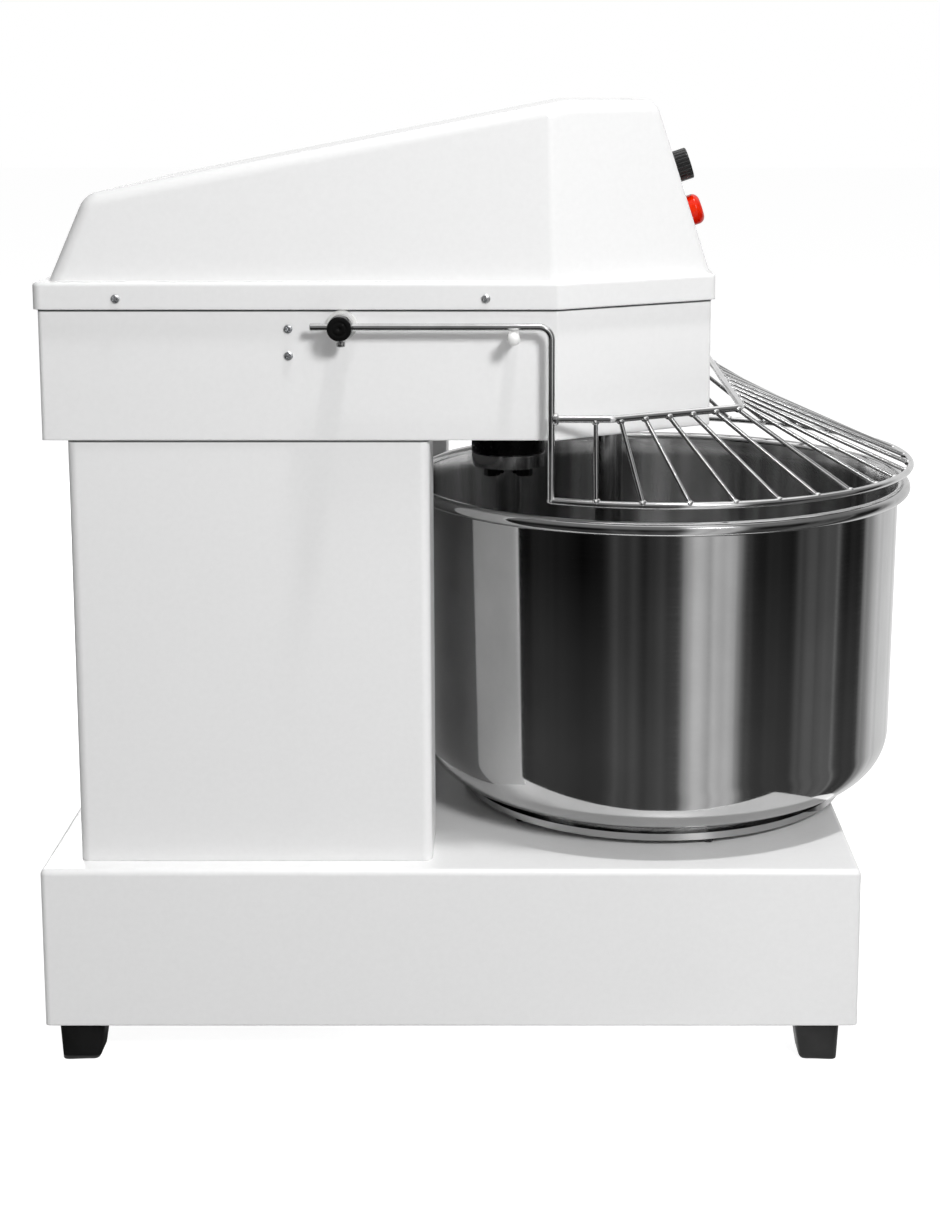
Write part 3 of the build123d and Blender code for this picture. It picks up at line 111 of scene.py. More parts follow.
floor_paint = bpy.data.materials.new("pale_floor")
tree = bare_tree(floor_paint)
shaded = node(tree, "BsdfDiffuse", {"Color": (0.46, 0.46, 0.46, 1)})
white = node(tree, "Emission", {"Strength": 0.9})
bright = node(tree, "AddShader", {0: shaded.outputs[0], 1: white.outputs[0]})
plain = node(tree, "BsdfDiffuse", {"Color": (0.60, 0.60, 0.60, 1)})
either = node(tree, "MixShader", {"Fac": seen_plainly(tree), 1: plain.outputs[0], 2: bright.outputs[0]})
node(tree, "OutputMaterial", {"Surface": either.outputs[0]})
floor.data.materials.append(floor_paint)

room = bpy.data.worlds.new("studio_room")
scene.world = room
tree = bare_tree(room)
fill = node(tree, "Background", {"Color": (1, 1, 1, 1), "Strength": 0.19})
backdrop = node(tree, "Background", {"Color": (1, 1, 1, 1), "Strength": 1.0})
either = node(tree, "MixShader", {"Fac": seen_plainly(tree), 1: fill.outputs[0], 2: backdrop.outputs[0]})
node(tree, "OutputWorld", {"Surface": either.outputs[0]})

for name, size, power, place, turn in (
    ("front_lamp", 0.62, 58.5, (1.12, -2.44, 2.00), (62, 0, 27)),
    ("top_lamp", 0.30, 76, (0.45, -0.69, 4.20), (9.5, 0, 5)),
    ("rear_lamp", 1.00, 40, (-1.20, 2.30, 1.00), (77, 0, 208)),
):
    lamp_data = bpy.data.lights.new(name, "AREA")
    lamp_data.shape = "DISK"
    lamp_data.size = size
    lamp_data.energy = power
    lamp = bpy.data.objects.new(name, lamp_data)
    lamp.location = place
    lamp.rotation_euler = [radians(part) for part in turn]
    scene.collection.objects.link(lamp)

view = bpy.data.cameras.new("photo_camera")
view.lens = 61.38
view.sensor_width = 36
view.shift_x = -0.0475
view.shift_y = -0.1590
camera = bpy.data.objects.new("photo_camera", view)
camera.location = (0.0279, -1.8882, 0.8202)
camera.rotation_euler = (radians(81.06), 0, 0)
scene.collection.objects.link(camera)
scene.camera = camera


# Dark screens and bright strips stand in a ring round the bowl and lie on the floor inside it. Grey screens
# close the ring above, brighter overhead. They show only as reflections and cast no shadow.
def shades(tree, source, *stops):
    """Ramp from a pattern to greys or colours; each stop is a position and a grey level or a colour."""
    ramp = node(tree, "ValToRGB", {"Fac": source})
    elements = ramp.color_ramp.elements
    for index, (position, colour) in enumerate(stops):
        stop = elements[index] if index < 2 else elements.new(position)
        stop.position = position
        stop.color = (colour, colour, colour, 1) if isinstance(colour, float) else (*colour, 1)
    return ramp.outputs["Color"]


def height_on(tree):
    """Height on the piece, in metres above the floor."""
    place = node(tree, "TexCoord", {}).outputs["Object"]
    return node(tree, "SeparateXYZ", {"Vector": place}).outputs["Z"]


def ranged(tree, source, low, high, at_low, at_high):
    """Value that goes straight from one level to another while its source goes from low to high."""
    limits = {"From Min": low, "From Max": high, "To Min": at_low, "To Max": at_high}
    return node(tree, "MapRange", {"Value": source, **limits}).outputs["Result"]


bowl_x = 0.146
card_columns = 181
turn = np.linspace(-np.pi, np.pi, card_columns)
card_reach = np.array([0.30, 0.55, 0.80, 0.80, 0.80, 0.80, 0.80, 0.74, 0.50, 0.02])[:, None]
card_rise = np.array([0.004, 0.004, 0.004, 0.18, 0.36, 0.55, 0.90, 1.25, 1.50, 1.60])[:, None]
cards_points = np.stack(np.broadcast_arrays(
    bowl_x + card_reach * np.sin(turn), -card_reach * np.cos(turn), card_rise), -1)
cards = make_piece("studio_cards", cards_points, grid_faces(len(card_reach), card_columns))
cards.visible_camera = False
cards.visible_diffuse = False
cards.visible_transmission = False
cards.visible_volume_scatter = False
cards.visible_shadow = False

# Angle round the bowl from the camera's side in degrees, to the right, and the card's brightness there.
card_stops = [
    (-178, 0.75), (-125, 0.30), (-112, 0.45), (-107, 0.62), (-104, 0.18), (-100, 0.12), (-78, 0.18),
    (-75, 0.70), (-71, 0.65), (-69, 0.012), (-56, 0.006), (-51, 0.022), (-40, 0.012), (-30, 0.005),
    (-24, 0.010), (-19, 0.050), (3, 0.045), (6, 0.08), (10, 0.50), (13, 0.72), (20, 0.57), (27, 0.72),
    (33, 0.05), (44, 0.020), (56, 0.025), (60, 0.10), (74, 0.08), (79, 0.18), (82, 0.022), (97, 0.025),
    (104, 0.50), (116, 0.80),
]
upper_stops = [(-178, 0.9), (-115, 0.8), (-95, 0.25), (6, 0.25), (11, 0.8), (27, 0.8), (33, 0.25),
               (95, 0.25), (115, 0.8)]
cards_paint = bpy.data.materials.new("card_bands")
tree = bare_tree(cards_paint)
place = node(tree, "TexCoord", {}).outputs["Object"]
centre = {"Vector": place, "Location": (bowl_x, 0, 0), "Rotation": (0, 0, radians(-90))}
centred = node(tree, "Mapping", centre, vector_type="TEXTURE").outputs["Vector"]
around = node(tree, "TexGradient", {"Vector": centred}, gradient_type="RADIAL").outputs["Fac"]
bands, upper = (shades(tree, around, *[((angle + 180) / 360, level) for angle, level in stops])
                for stops in (card_stops, upper_stops))
folds = node(tree, "TexNoise", {"W": around, "Scale": 55.0, "Detail": 2.0}, noise_dimensions="1D")
overlay = {"Factor": 1.0, "A": bands, "B": folds.outputs["Fac"]}
streaks = node(tree, "Mix", overlay, data_type="RGBA", blend_type="OVERLAY").outputs["Result"]
height = height_on(tree)
low_sheen = shades(tree, height, (0.05, 0.045), (0.27, 0.0))
strips, sheen, screens = (node(tree, "Emission", {"Color": colour}).outputs[0]
                          for colour in (streaks, low_sheen, upper))
ring = node(tree, "AddShader", {0: strips, 1: sheen}).outputs[0]
lifted = shades(tree, height, (0.45, 0.0), (0.70, 1.0))
walls = node(tree, "MixShader", {"Fac": lifted, 1: ring, 2: screens}).outputs[0]
overhead = node(tree, "Emission", {"Strength": ranged(tree, height, 1.20, 1.40, 0.0, 0.8)}).outputs[0]
closed = node(tree, "AddShader", {0: walls, 1: overhead}).outputs[0]
node(tree, "OutputMaterial", {"Surface": closed})
cards.data.materials.append(cards_paint)


# Four block feet under the corners of the base. They are moulded black rubber with a rounded sole that leans
# towards the end of the base, each held by one bolt up through its middle.
def fan_faces(centre, ring):
    """Three-sided faces from one centre point to a closed ring of points."""
    return np.stack([np.full(len(ring), centre), ring, np.roll(ring, -1)], -1)


def closed_rows(rows, columns):
    """Faces of a tube of rows, closed at each end by a fan to one of two points that follow the rows."""
    count, ring = rows * columns, np.arange(columns)
    return [grid_faces(rows, columns, wrap_columns=True), fan_faces(count, ring[::-1]),
            fan_faces(count + 1, count - columns + ring)]


def joined(name, *shapes):
    """One mesh from several shapes, each an array of points with arrays of faces."""
    start = np.cumsum([0] + [len(points) for points, faces in shapes])
    faces = [group + begin for begin, (points, groups) in zip(start, shapes) for group in groups]
    return make_piece(name, np.vstack([points for points, groups in shapes]), *faces)


foot_height, sole_half, foot_flare = 0.035, 0.016, 0.1
foot_hole_radius, foot_hole_depth = 0.010, 0.014
sole_rounding, sole_rounding_change = 0.0032, 0.0016


def block_foot(x, y, lean, columns=96):
    """Rings stacked from the top of the foot down to its sole and up into the bolt hole. Each ring is a
    square rounded as a superellipse of the eighth power; the sole leans aside and its edge is rounded, more
    on the inner side."""
    angle = np.linspace(0, 2 * np.pi, columns, endpoint=False)
    square = (np.cos(angle) ** 8 + np.sin(angle) ** 8) ** -0.125
    rounding = sole_rounding - sole_rounding_change * np.sign(lean) * np.cos(angle)
    share, bend = np.linspace(0, 1, 10)[:, None], np.linspace(0, np.pi / 2, 8)[1:, None]
    level = np.vstack([foot_height * (1 - share) + rounding * share, rounding * (1 - np.sin(bend))])
    inset = np.vstack([0 * share * rounding, rounding * (1 - np.cos(bend))])
    reach = square * (sole_half + foot_flare * level) - inset
    shift = lean * (1 - level / foot_height)
    hole = np.ones((2, columns))
    level = np.vstack([level, hole * [[0], [foot_hole_depth]]])
    reach, shift = np.vstack([reach, foot_hole_radius * hole]), np.vstack([shift, 0 * hole])
    points = np.stack([x + shift + reach * np.cos(angle), y + reach * np.sin(angle), level], -1)
    ends = [(x, y, foot_height), (x, y, foot_hole_depth)]
    return np.vstack([points.reshape(-1, 3), ends]), closed_rows(len(level), columns)


def finish(name, roughness, metallic=0.0):
    """New material with one surface shader; gives the material, its node tree and the shader."""
    material = bpy.data.materials.new(name)
    material.use_nodes = True
    shader = material.node_tree.nodes["Principled BSDF"]
    shader.inputs["Roughness"].default_value = roughness
    shader.inputs["Metallic"].default_value = metallic
    return material, material.node_tree, shader


def lay_on(tree, shader, colour, roughness, normal):
    """Links the patterns of a finish to its surface shader."""
    tree.links.new(colour, shader.inputs["Base Color"])
    tree.links.new(roughness, shader.inputs["Roughness"])
    tree.links.new(normal, shader.inputs["Normal"])


def grain(tree, size, stretch=(1, 1, 1), detail=3.0):
    """Noise over the piece's own coordinates, with lumps about size metres across, drawn out by stretch."""
    place = node(tree, "TexCoord", {}).outputs["Object"]
    spread = node(tree, "Mapping", {"Vector": place, "Scale": [1 / (size * share) for share in stretch]})
    pattern = {"Vector": spread.outputs["Vector"], "Scale": 1.0, "Detail": detail}
    return node(tree, "TexNoise", pattern).outputs["Fac"]


def times(tree, first, second):
    """Product of two colour patterns."""
    factors = {"Factor": 1.0, "A": first, "B": second}
    return node(tree, "Mix", factors, data_type="RGBA", blend_type="MULTIPLY").outputs["Result"]


def soft_edges(tree, width):
    """Normal with the edges rounded by width, and how well it agrees with the plain one: 1 on flats, less
    along edges."""
    rounded = node(tree, "Bevel", {"Radius": width}, samples=4).outputs["Normal"]
    plain = node(tree, "NewGeometry", {}).outputs["Normal"]
    product = node(tree, "VectorMath", {0: rounded, 1: plain}, operation="DOT_PRODUCT")
    return rounded, product.outputs["Value"]


def relief(tree, height, depth, under=None):
    """Bump of a pattern, depth metres from its lows to its highs, laid over another normal."""
    inputs = {"Distance": depth, "Height": height}
    if under is not None:
        inputs["Normal"] = under
    return node(tree, "Bump", inputs).outputs["Normal"]


def moulded(name, dark, light, dull, lump, depth, shine=0.25, wear_and_highlight=1.6):
    """Moulded rubber or plastic: two tones in soft blotches, paler along edges, fine pitted skin. The edges
    are paler from wear, and where the factor is large also from a painted highlight.
    """
    material, tree, shader = finish(name, dull)
    normal, agree = soft_edges(tree, 0.0015)
    shader.inputs["Specular IOR Level"].default_value = shine
    blotches = shades(tree, grain(tree, 0.02), (0.35, dark), (0.65, light))
    paler_edges = shades(tree, agree, (0.70, wear_and_highlight), (0.97, 1.0))
    gloss = shades(tree, grain(tree, 0.006), (0.3, dull - 0.07), (0.7, dull + 0.07))
    pitted = relief(tree, grain(tree, lump), depth, normal)
    lay_on(tree, shader, times(tree, blotches, paler_edges), gloss, pitted)
    return material


def dress(material, *names):
    """Gives CAD nodes a material."""
    for name in names:
        for slot in cad[name].material_slots:
            slot.material = material


sides = ((-1, "left"), (1, "right"))
foot_y = 0.209
rubber = moulded("black_rubber", 0.007, 0.012, 0.45, 0.0012, 0.00006)
for end, foot_x, lean in (("front", 0.274, 0.002), ("rear", -0.3515, -0.002)):
    for side, side_name in sides:
        foot = joined(f"foot_rubber_{end}_{side_name}", block_foot(foot_x, side * foot_y, lean))
        foot.data.materials.append(rubber)
        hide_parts(f"foot_{end}_{side_name}")
        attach(foot, "frame")


# The foot bolts are zinced steel with hexagon heads. They go up through the feet and the base's flange, and
# hold its bottom plate too.
def bare_metal(name, dull, bright, rough, fine, stretch=(1, 1, 1), depth=0.00001):
    """Bare or plated metal: two tones in patches, fine grain drawn out by stretch in gloss and relief."""
    material, tree, shader = finish(name, rough, 1.0)
    normal, agree = soft_edges(tree, 0.0006)
    patches = shades(tree, grain(tree, 0.03), (0.35, dull), (0.65, bright))
    paler_edges = shades(tree, agree, (0.75, 1.15), (0.98, 1.0))
    lines = grain(tree, fine, stretch)
    gloss = shades(tree, lines, (0.3, rough * 0.7), (0.7, rough * 1.4))
    lay_on(tree, shader, times(tree, patches, paler_edges), gloss, relief(tree, lines, depth, normal))
    return material


zinc = bare_metal("zinc_plate", (0.50, 0.51, 0.53), 0.62, 0.30, 0.0015)
dress(zinc, "foot_bolts")


# The base is a box of folded sheet steel with welded corners, sprayed with white enamel. A zinced plate on
# its folded-in flange closes it from below.
def enamel(name, low, high, gloss, peel, seam=None):
    """Sprayed enamel: faintly mottled tone, slightly paler along the edges, orange-peel surface. A dark line
    just under the level of a seam is partly the thin gap between the sheets, which touch in the CAD, and
    partly painted shade under the edge above."""
    material, tree, shader = finish(name, gloss)
    normal, agree = soft_edges(tree, 0.0022)
    clouds = shades(tree, grain(tree, 0.0045, detail=2.0), (0.3, low), (0.7, high))
    worn = shades(tree, agree, (0.70, 1.05), (0.98, 1.0))
    colour = times(tree, clouds, worn)
    if seam is not None:
        gap_and_shade_line = ranged(tree, height_on(tree), seam - 0.0022, seam - 0.0014, 1.0, 0.10)
        colour = times(tree, colour, gap_and_shade_line)
    sheen = shades(tree, grain(tree, 0.15, detail=0.0), (0.2, gloss - 0.02), (0.8, gloss + 0.02))
    lay_on(tree, shader, colour, sheen, relief(tree, grain(tree, 0.0025, detail=1.0), peel, normal))
    return material


white_low, white_high, enamel_gloss, enamel_peel = 0.816, 0.832, 0.33, 0.000015
white_enamel = enamel("white_enamel", white_low, white_high, enamel_gloss, enamel_peel)
dress(white_enamel, "base_shell")
dress(zinc, "base_bottom_plate")

# The column is one folded steel sheet, welded to the base and hollowed round the bowl. A vented panel at
# the back is held by six screws, and the cable gland is below it.
column_top = 0.535
# The dark line just under the column's top is partly the seam and partly painted shade under the casing.
column_enamel = enamel("column_enamel", white_low, white_high, enamel_gloss, enamel_peel, column_top)
dress(column_enamel, "column_shell", "column_rear_panel")
black_plastic = moulded("black_plastic", 0.010, 0.018, 0.33, 0.0008, 0.00002)
dress(black_plastic, "cable_gland")

# The head casing is a folded and welded steel box with a pointed nose, sprayed with the same enamel. It
# stands on the column, and the cover's band laps over its upper edge.
band_bottom = 0.643
# The dark line just under the band's lower edge is partly the seam and partly painted shade under the band.
casing_enamel = enamel("casing_enamel", white_low, white_high, enamel_gloss, enamel_peel, band_bottom)
dress(casing_enamel, "head_casing")

# The cover is a smooth white moulding, glossier than the enamel, with a sloping top and a flat band round
# its foot. It drops over the casing and four screws hold it.
white_cover = enamel("white_cover_gloss", 0.808, 0.824, 0.16, 0.000006)
dress(white_cover, "head_cover")


# Pan-headed screws hold the cover, the rear panel and the guard switch. They are zinced steel with a
# domed head and a cross recess.
def repeat(shape, places):
    """Copies of one shape, moved to each of the places."""
    points, faces = shape
    places = np.asarray(places, float).reshape(-1, 3)
    shift = len(points) * np.arange(len(places))
    moved = (places[:, None, :] + points[None]).reshape(-1, 3)
    return moved, [(shift[:, None, None] + group[None]).reshape(-1, group.shape[1]) for group in faces]


def pan_head(outward, across, radius, height, columns=48):
    """Domed head: a grid in distance along the profile and angle. The dome falls away from the middle as a
    flat ellipse and is cut by a cross recess, then come a short upright edge and a flat underside."""
    out = np.linspace(0.03, 1, 24)[:, None]
    angle = np.linspace(0, 2 * np.pi, columns, endpoint=False)
    u, v = out * np.cos(angle), out * np.sin(angle)
    narrow, far = np.minimum(np.abs(u), np.abs(v)), np.maximum(np.abs(u), np.abs(v))
    recess = np.clip((0.16 - narrow) / 0.05, 0, 1) * np.clip((0.62 - far) / 0.10, 0, 1)
    rise = 0.30 + 0.70 * np.sqrt(1 - 0.92 * out ** 2) - 0.50 * recess
    u, v = np.vstack([u, u[-1:]]), np.vstack([v, v[-1:]])
    rise = np.vstack([rise, np.zeros((1, columns))])
    points = radius * (u[..., None] * across + v[..., None] * np.cross(outward, across))
    points = (points + height * rise[..., None] * outward).reshape(-1, 3)
    points = np.vstack([points, [outward * height * 0.5, outward * 0]])
    return points, closed_rows(len(rise), columns)


x_axis, y_axis, z_axis = np.eye(3)
screw_radius, screw_height = 0.0036, 0.0025
band_y, casing_y, rear_panel_x = 0.2165, 0.213, -0.353
band_places = [(-0.306, 0.652), (-0.006, 0.652)]
switch_places = [(-0.167, 0.627), (-0.167, 0.605)]
near_seats = [(x, -band_y, level) for x, level in band_places]
near_seats += [(x, -casing_y, level) for x, level in switch_places]
far_seats = [(x, band_y, level) for x, level in band_places]
rear_screw_y, rear_levels = 0.158, (0.240, 0.368, 0.496)
rear_seats = [(rear_panel_x, y, level) for y in (-rear_screw_y, rear_screw_y) for level in rear_levels]
slanted = (x_axis + 0.6 * z_axis) / np.hypot(1, 0.6)
diagonal = (y_axis + z_axis) / np.sqrt(2)
screws = joined(
    "pan_screws",
    repeat(pan_head(-y_axis, slanted, screw_radius, screw_height), near_seats),
    repeat(pan_head(y_axis, slanted, screw_radius, screw_height), far_seats),
    repeat(pan_head(-x_axis, diagonal, screw_radius, screw_height), rear_seats),
)
screws.data.materials.append(zinc)
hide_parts("panel_screws")
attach(screws, "frame")

# The selector is a ribbed black plastic knob on a plain bezel, and the stop is a domed red push button in
# a dark collar. Both are held in the sloping panel by their barrels.
gloss_black = (0.003, 0.006, 0.10, 0.0008, 0.000002)
# The knob's rib crests are painted far paler: partly wear, partly a painted highlight along the ribs.
knob_plastic = moulded("glossy_black_plastic", *gloss_black, shine=0.45, wear_and_highlight=18.0)
dress(black_plastic, "selector_body", "stop_button_body")
dress(knob_plastic, "selector_knob")
red_plastic, tree, shader = finish("red_lens", 0.08)
shader.inputs["Specular IOR Level"].default_value = 0.25
red_tones = shades(tree, grain(tree, 0.012), (0.3, (0.58, 0.006, 0.0005)), (0.7, (0.70, 0.022, 0.001)))
red_gloss = shades(tree, grain(tree, 0.004), (0.3, 0.06), (0.7, 0.12))
lay_on(tree, shader, red_tones, red_gloss, relief(tree, grain(tree, 0.004, detail=1.0), 0.00001))
dress(red_plastic, "stop_button")

# The bowl drive in the base: a bearing housing bolted under the top, the bowl shaft with its pulley, and a
# gearmotor that turns it through a flat belt.
ground_steel = bare_metal("ground_steel", (0.46, 0.46, 0.47), 0.58, 0.25, 0.0008)
cast_iron = bare_metal("turned_casting", (0.26, 0.26, 0.27), 0.36, 0.45, 0.0012, depth=0.00004)
black_metal = moulded("black_lacquer", 0.002, 0.005, 0.30, 0.0020, 0.00002, shine=0.10)
motor_grey = moulded("motor_grey", (0.13, 0.14, 0.15), (0.19, 0.20, 0.21), 0.45, 0.0015, 0.00005)
dress(black_metal, "bowl_bearing_housing")
dress(ground_steel, "bowl_bearing_upper", "bowl_bearing_lower", "bowl_shaft", "gearmotor_shaft")
dress(cast_iron, "bowl_pulley", "gearmotor_pulley")
dress(rubber, "bowl_belt")
dress(motor_grey, "bowl_gearmotor")
dress(zinc, "bowl_bolts", "frame_bolts")


# The bowl is spun from stainless sheet and polished, with its rim rolled outwards over a wire. It stands
# on a turned ring with six screws, on the hub of the bowl shaft.
def turned(profile, centre, axis, across, steps):
    """A profile of radius and height turned round an axis through a centre. Its first and last points lie on
    the axis, and a fan of faces closes each end."""
    profile = np.asarray(profile, float)
    angle = np.linspace(0, 2 * np.pi, steps, endpoint=False)[None, :, None]
    around = np.cos(angle) * across + np.sin(angle) * np.cross(axis, across)
    points = centre + profile[1:-1, 0][:, None, None] * around + profile[1:-1, 1][:, None, None] * axis
    ends = [centre + profile[0, 1] * axis, centre + profile[-1, 1] * axis]
    return np.vstack([points.reshape(-1, 3), ends]), closed_rows(len(profile) - 2, steps)


def arc(centre, radius, first, last, count):
    """Points of an arc in the plane of a profile, from one angle to another in degrees."""
    angle = np.radians(np.linspace(first, last, count))
    return np.stack([centre[0] + radius * np.cos(angle), centre[1] + radius * np.sin(angle)], -1)


def straight(first, last, count):
    """Evenly spaced points of a straight run, without its two ends."""
    share = np.linspace(0, 1, count + 2)[1:-1, None]
    return np.asarray(first) * (1 - share) + np.asarray(last) * share


bowl_steps = 192
bowl_under, bowl_floor = 0.190, 0.196
outer_foot, inner_foot = (0.1705, 0.238), (0.1725, 0.240)
outer_bend, inner_bend = 0.048, 0.044
rim_centre, rim_radius = (0.227, 0.463), 0.006
floor_run = straight((0.0, bowl_floor), (inner_foot[0], bowl_floor), 10)
inner_corner = arc(inner_foot, inner_bend, -90, 0, 16)
inner_wall = straight(inner_corner[-1], (0.220, 0.460), 14)
bead = arc(rim_centre, rim_radius, 180, -146, 40)
outer_corner = arc(outer_foot, outer_bend, 0, -90, 20)
outer_wall = straight((0.222, 0.459), outer_corner[0], 14)
underside = straight((outer_foot[0], bowl_under), (0.0, bowl_under), 10)
inside = np.vstack([floor_run, inner_corner, inner_wall, [(0.2202, 0.4615)]])
outside = np.vstack([bead, outer_wall, outer_corner, underside])
bowl_profile = np.vstack([[(0.0, bowl_floor)], inside, outside, [(0.0, bowl_under)]])
bowl = joined("bowl_spun", turned(bowl_profile, np.array([bowl_x, 0, 0]), z_axis, x_axis, bowl_steps))
stainless, tree, shader = finish("polished_stainless", 0.08, 1.0)
fine_rings = grain(tree, 0.0006, (400, 400, 1), 2.0)
sheet_wave = grain(tree, 0.030, (1, 1, 14), 2.0)
smears = shades(tree, grain(tree, 0.05, (1, 1, 1.6), 5.0), (0.35, 0.50), (0.65, 0.56))
polish = shades(tree, fine_rings, (0.3, 0.05), (0.7, 0.12))
wavy = relief(tree, sheet_wave, 0.00010)
lay_on(tree, shader, smears, polish, relief(tree, fine_rings, 0.000003, wavy))
bowl.data.materials.append(stainless)

# The inside of the bowl is the same sheet, duller from use. Dough and scrapers rub it down the wall, and
# upright bands fade out at the floor; the bands are partly these rub marks and partly painted reflection
# bands.
satin, tree, shader = finish("satin_stainless", 0.22, 0.92)
rub_and_reflection_streaks = grain(tree, 0.040, (1, 1, 40), 2.0)
floor_tone = shades(tree, grain(tree, 0.002), (0.3, 0.46), (0.7, 0.52))
# Upright bands in the wall's colour: partly rub marks, partly painted reflection bands.
wall_smears_and_reflections = shades(tree, rub_and_reflection_streaks, (0.40, 0.20), (0.60, 0.72))
on_wall = ranged(tree, height_on(tree), 0.205, 0.270, 0.0, 1.0)
smears_and_reflections = node(tree, "Mix", {"Factor": on_wall, "A": floor_tone, "B": wall_smears_and_reflections}, data_type="RGBA")
dulled = shades(tree, grain(tree, 0.012, (1, 1, 30)), (0.3, 0.16), (0.7, 0.26))
lay_on(tree, shader, smears_and_reflections.outputs["Result"], dulled, relief(tree, rub_and_reflection_streaks, 0.00006))
bowl.data.materials.append(satin)
side_faces = (len(inside) + len(outside) - 1) * bowl_steps
finish_number = np.zeros(len(bowl.data.polygons), np.int32)
finish_number[:len(inside) * bowl_steps] = 1
finish_number[side_faces:side_faces + bowl_steps] = 1
bowl.data.polygons.foreach_set("material_index", finish_number)
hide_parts("bowl")
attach(bowl, "bowl")

# The foot ring under the bowl is turned and polished stainless. Six blackened screws come up through its
# lip, and their heads stand below it.
dress(stainless, "bowl_foot_ring")
ring_screw_count, first_ring_screw, ring_screw_reach, ring_lip_bottom = 6, -76.5, 0.172, 0.178
ring_screw_radius, ring_screw_height = 0.0042, 0.0036
angle = np.radians(first_ring_screw + 360 / ring_screw_count * np.arange(ring_screw_count))
ring_seats = np.stack([bowl_x + ring_screw_reach * np.cos(angle), ring_screw_reach * np.sin(angle),
                       np.full(ring_screw_count, ring_lip_bottom)], -1)
ring_head = pan_head(-z_axis, x_axis, ring_screw_radius, ring_screw_height)
ring_screws = joined("ring_screws", repeat(ring_head, ring_seats))
blackened = bare_metal("blackened_steel", (0.020, 0.020, 0.021), (0.040, 0.040, 0.041), 0.35, 0.0015)
ring_screws.data.materials.append(blackened)
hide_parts("bowl_ring_screws")
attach(ring_screws, "bowl")

# The spiral drive in the head: a motor in the column with a small pulley, and a flat belt to the large
# pulley on the spiral shaft, which runs in two bearings in a black housing under the head.
dress(motor_grey, "motor")
dress(ground_steel, "motor_shaft", "spiral_shaft", "spiral_bearing_lower", "spiral_bearing_upper")
dress(cast_iron, "motor_pulley", "spiral_pulley")
dress(rubber, "spiral_belt")
dress(black_metal, "spiral_bearing_housing")

# The spiral is a polished stainless bar wound down into the bowl, welded to a flange that four bolts hold
# to the shaft.
# The bar's base colour is darker than bare polished steel: painted shade for the bar, which lies in the dark
# under the head.
bar_steel = bare_metal("polished_bar", 0.30, 0.42, 0.12, 0.0010, (3, 3, 1))
dress(bar_steel, "spiral_hook")
dress(black_metal, "spiral_flange_bolts")

# The breaker bar is a straight stainless rod with a rounded lower end. It hangs from the floor of the head
# by a stud, with a zinced nut above.
dress(bar_steel, "breaker_bar")
dress(zinc, "breaker_bar_nut")


# The guard is a basket of bright plated rods welded together, on two arms that are clamped by set screws in
# a shaft across the head. The bars fan out from the inner rod to the outer ring.
def bent(corners, radii, points=14):
    """Path through the corners, with each inner corner replaced by an arc that starts and ends at its radius
    times the tangent of half the turn."""
    corners = np.asarray(corners, float)
    runs = [corners[:1]]
    for before, corner, after, radius in zip(corners, corners[1:], corners[2:], radii):
        back = (before - corner) / np.linalg.norm(before - corner)
        on = (after - corner) / np.linalg.norm(after - corner)
        half = np.arccos(np.clip(-back @ on, -1, 1)) / 2
        middle = corner + (back + on) / np.linalg.norm(back + on) * radius / np.cos(half)
        share = np.linspace(-half, half, points)[:, None]
        first = (corner - middle) / np.linalg.norm(corner - middle)
        second = (on - back) / np.linalg.norm(on - back)
        runs.append(middle + radius * (np.cos(share) * first + np.sin(share) * second))
    runs.append(corners[-1:])
    return np.vstack(runs)


def rod(path, radius, columns=20, aside=(0.31, 0.85, 0.42)):
    """A circle carried along a path. At each point it lies across the path, with its first axis square to a
    fixed direction aside, and the ends have a small chamfer and a flat face."""
    path = np.asarray(path, float)
    along = np.gradient(path, axis=0)
    along /= np.linalg.norm(along, axis=1, keepdims=True)
    chamfer = 0.2 * radius
    path = np.vstack([path[:1], path[:1] + chamfer * along[:1], path[1:-1],
                      path[-1:] - chamfer * along[-1:], path[-1:]])
    along = np.vstack([along[:1], along, along[-1:]])
    size = np.full(len(path), radius)
    size[[0, -1]] = radius - chamfer
    first = np.cross(along, aside)
    first /= np.linalg.norm(first, axis=1, keepdims=True)
    second = np.cross(along, first)
    angle = np.linspace(0, 2 * np.pi, columns, endpoint=False)
    circle = np.cos(angle)[None, :, None] * first[:, None] + np.sin(angle)[None, :, None] * second[:, None]
    points = (path[:, None] + size[:, None, None] * circle).reshape(-1, 3)
    return np.vstack([points, path[:1], path[-1:]]), closed_rows(len(path), columns)


chrome = bare_metal("bright_plating", 0.62, 0.74, 0.10, 0.0012)
rod_radius, bar_radius = 0.0030, 0.0020
ring_radius, ring_level = 0.2325, 0.484
arm_reach, arm_front, pivot_x, pivot_level = 0.228, 0.047, -0.123, 0.630
arm_tail, arm_knee, arm_bends = 0.025, 0.046, (0.010, 0.030)
ring_end = np.arccos((arm_front - bowl_x) / ring_radius)
ring_end_y = ring_radius * np.sin(ring_end)
for side, side_name in sides:
    arm_path = bent([
        (pivot_x - arm_tail, side * arm_reach, pivot_level), (arm_front, side * arm_reach, pivot_level),
        (arm_front, side * arm_reach, ring_level + arm_knee), (arm_front, side * ring_end_y, ring_level),
    ], arm_bends)
    arm = joined(f"guard_arm_rod_{side_name}", rod(arm_path, rod_radius))
    arm.data.materials.append(chrome)
    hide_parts(f"guard_arm_{side_name}")
    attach(arm, "guard")


def on_ring(turn):
    """Points of the outer ring's centre line at angles from the front."""
    return np.stack([bowl_x + ring_radius * np.cos(turn), ring_radius * np.sin(turn),
                     np.full(len(turn), ring_level)], -1)


guard_ring = joined("guard_ring_rod", rod(on_ring(np.linspace(-ring_end, ring_end, 120)), rod_radius))
guard_ring.data.materials.append(chrome)
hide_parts("guard_outer_ring")
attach(guard_ring, "guard")

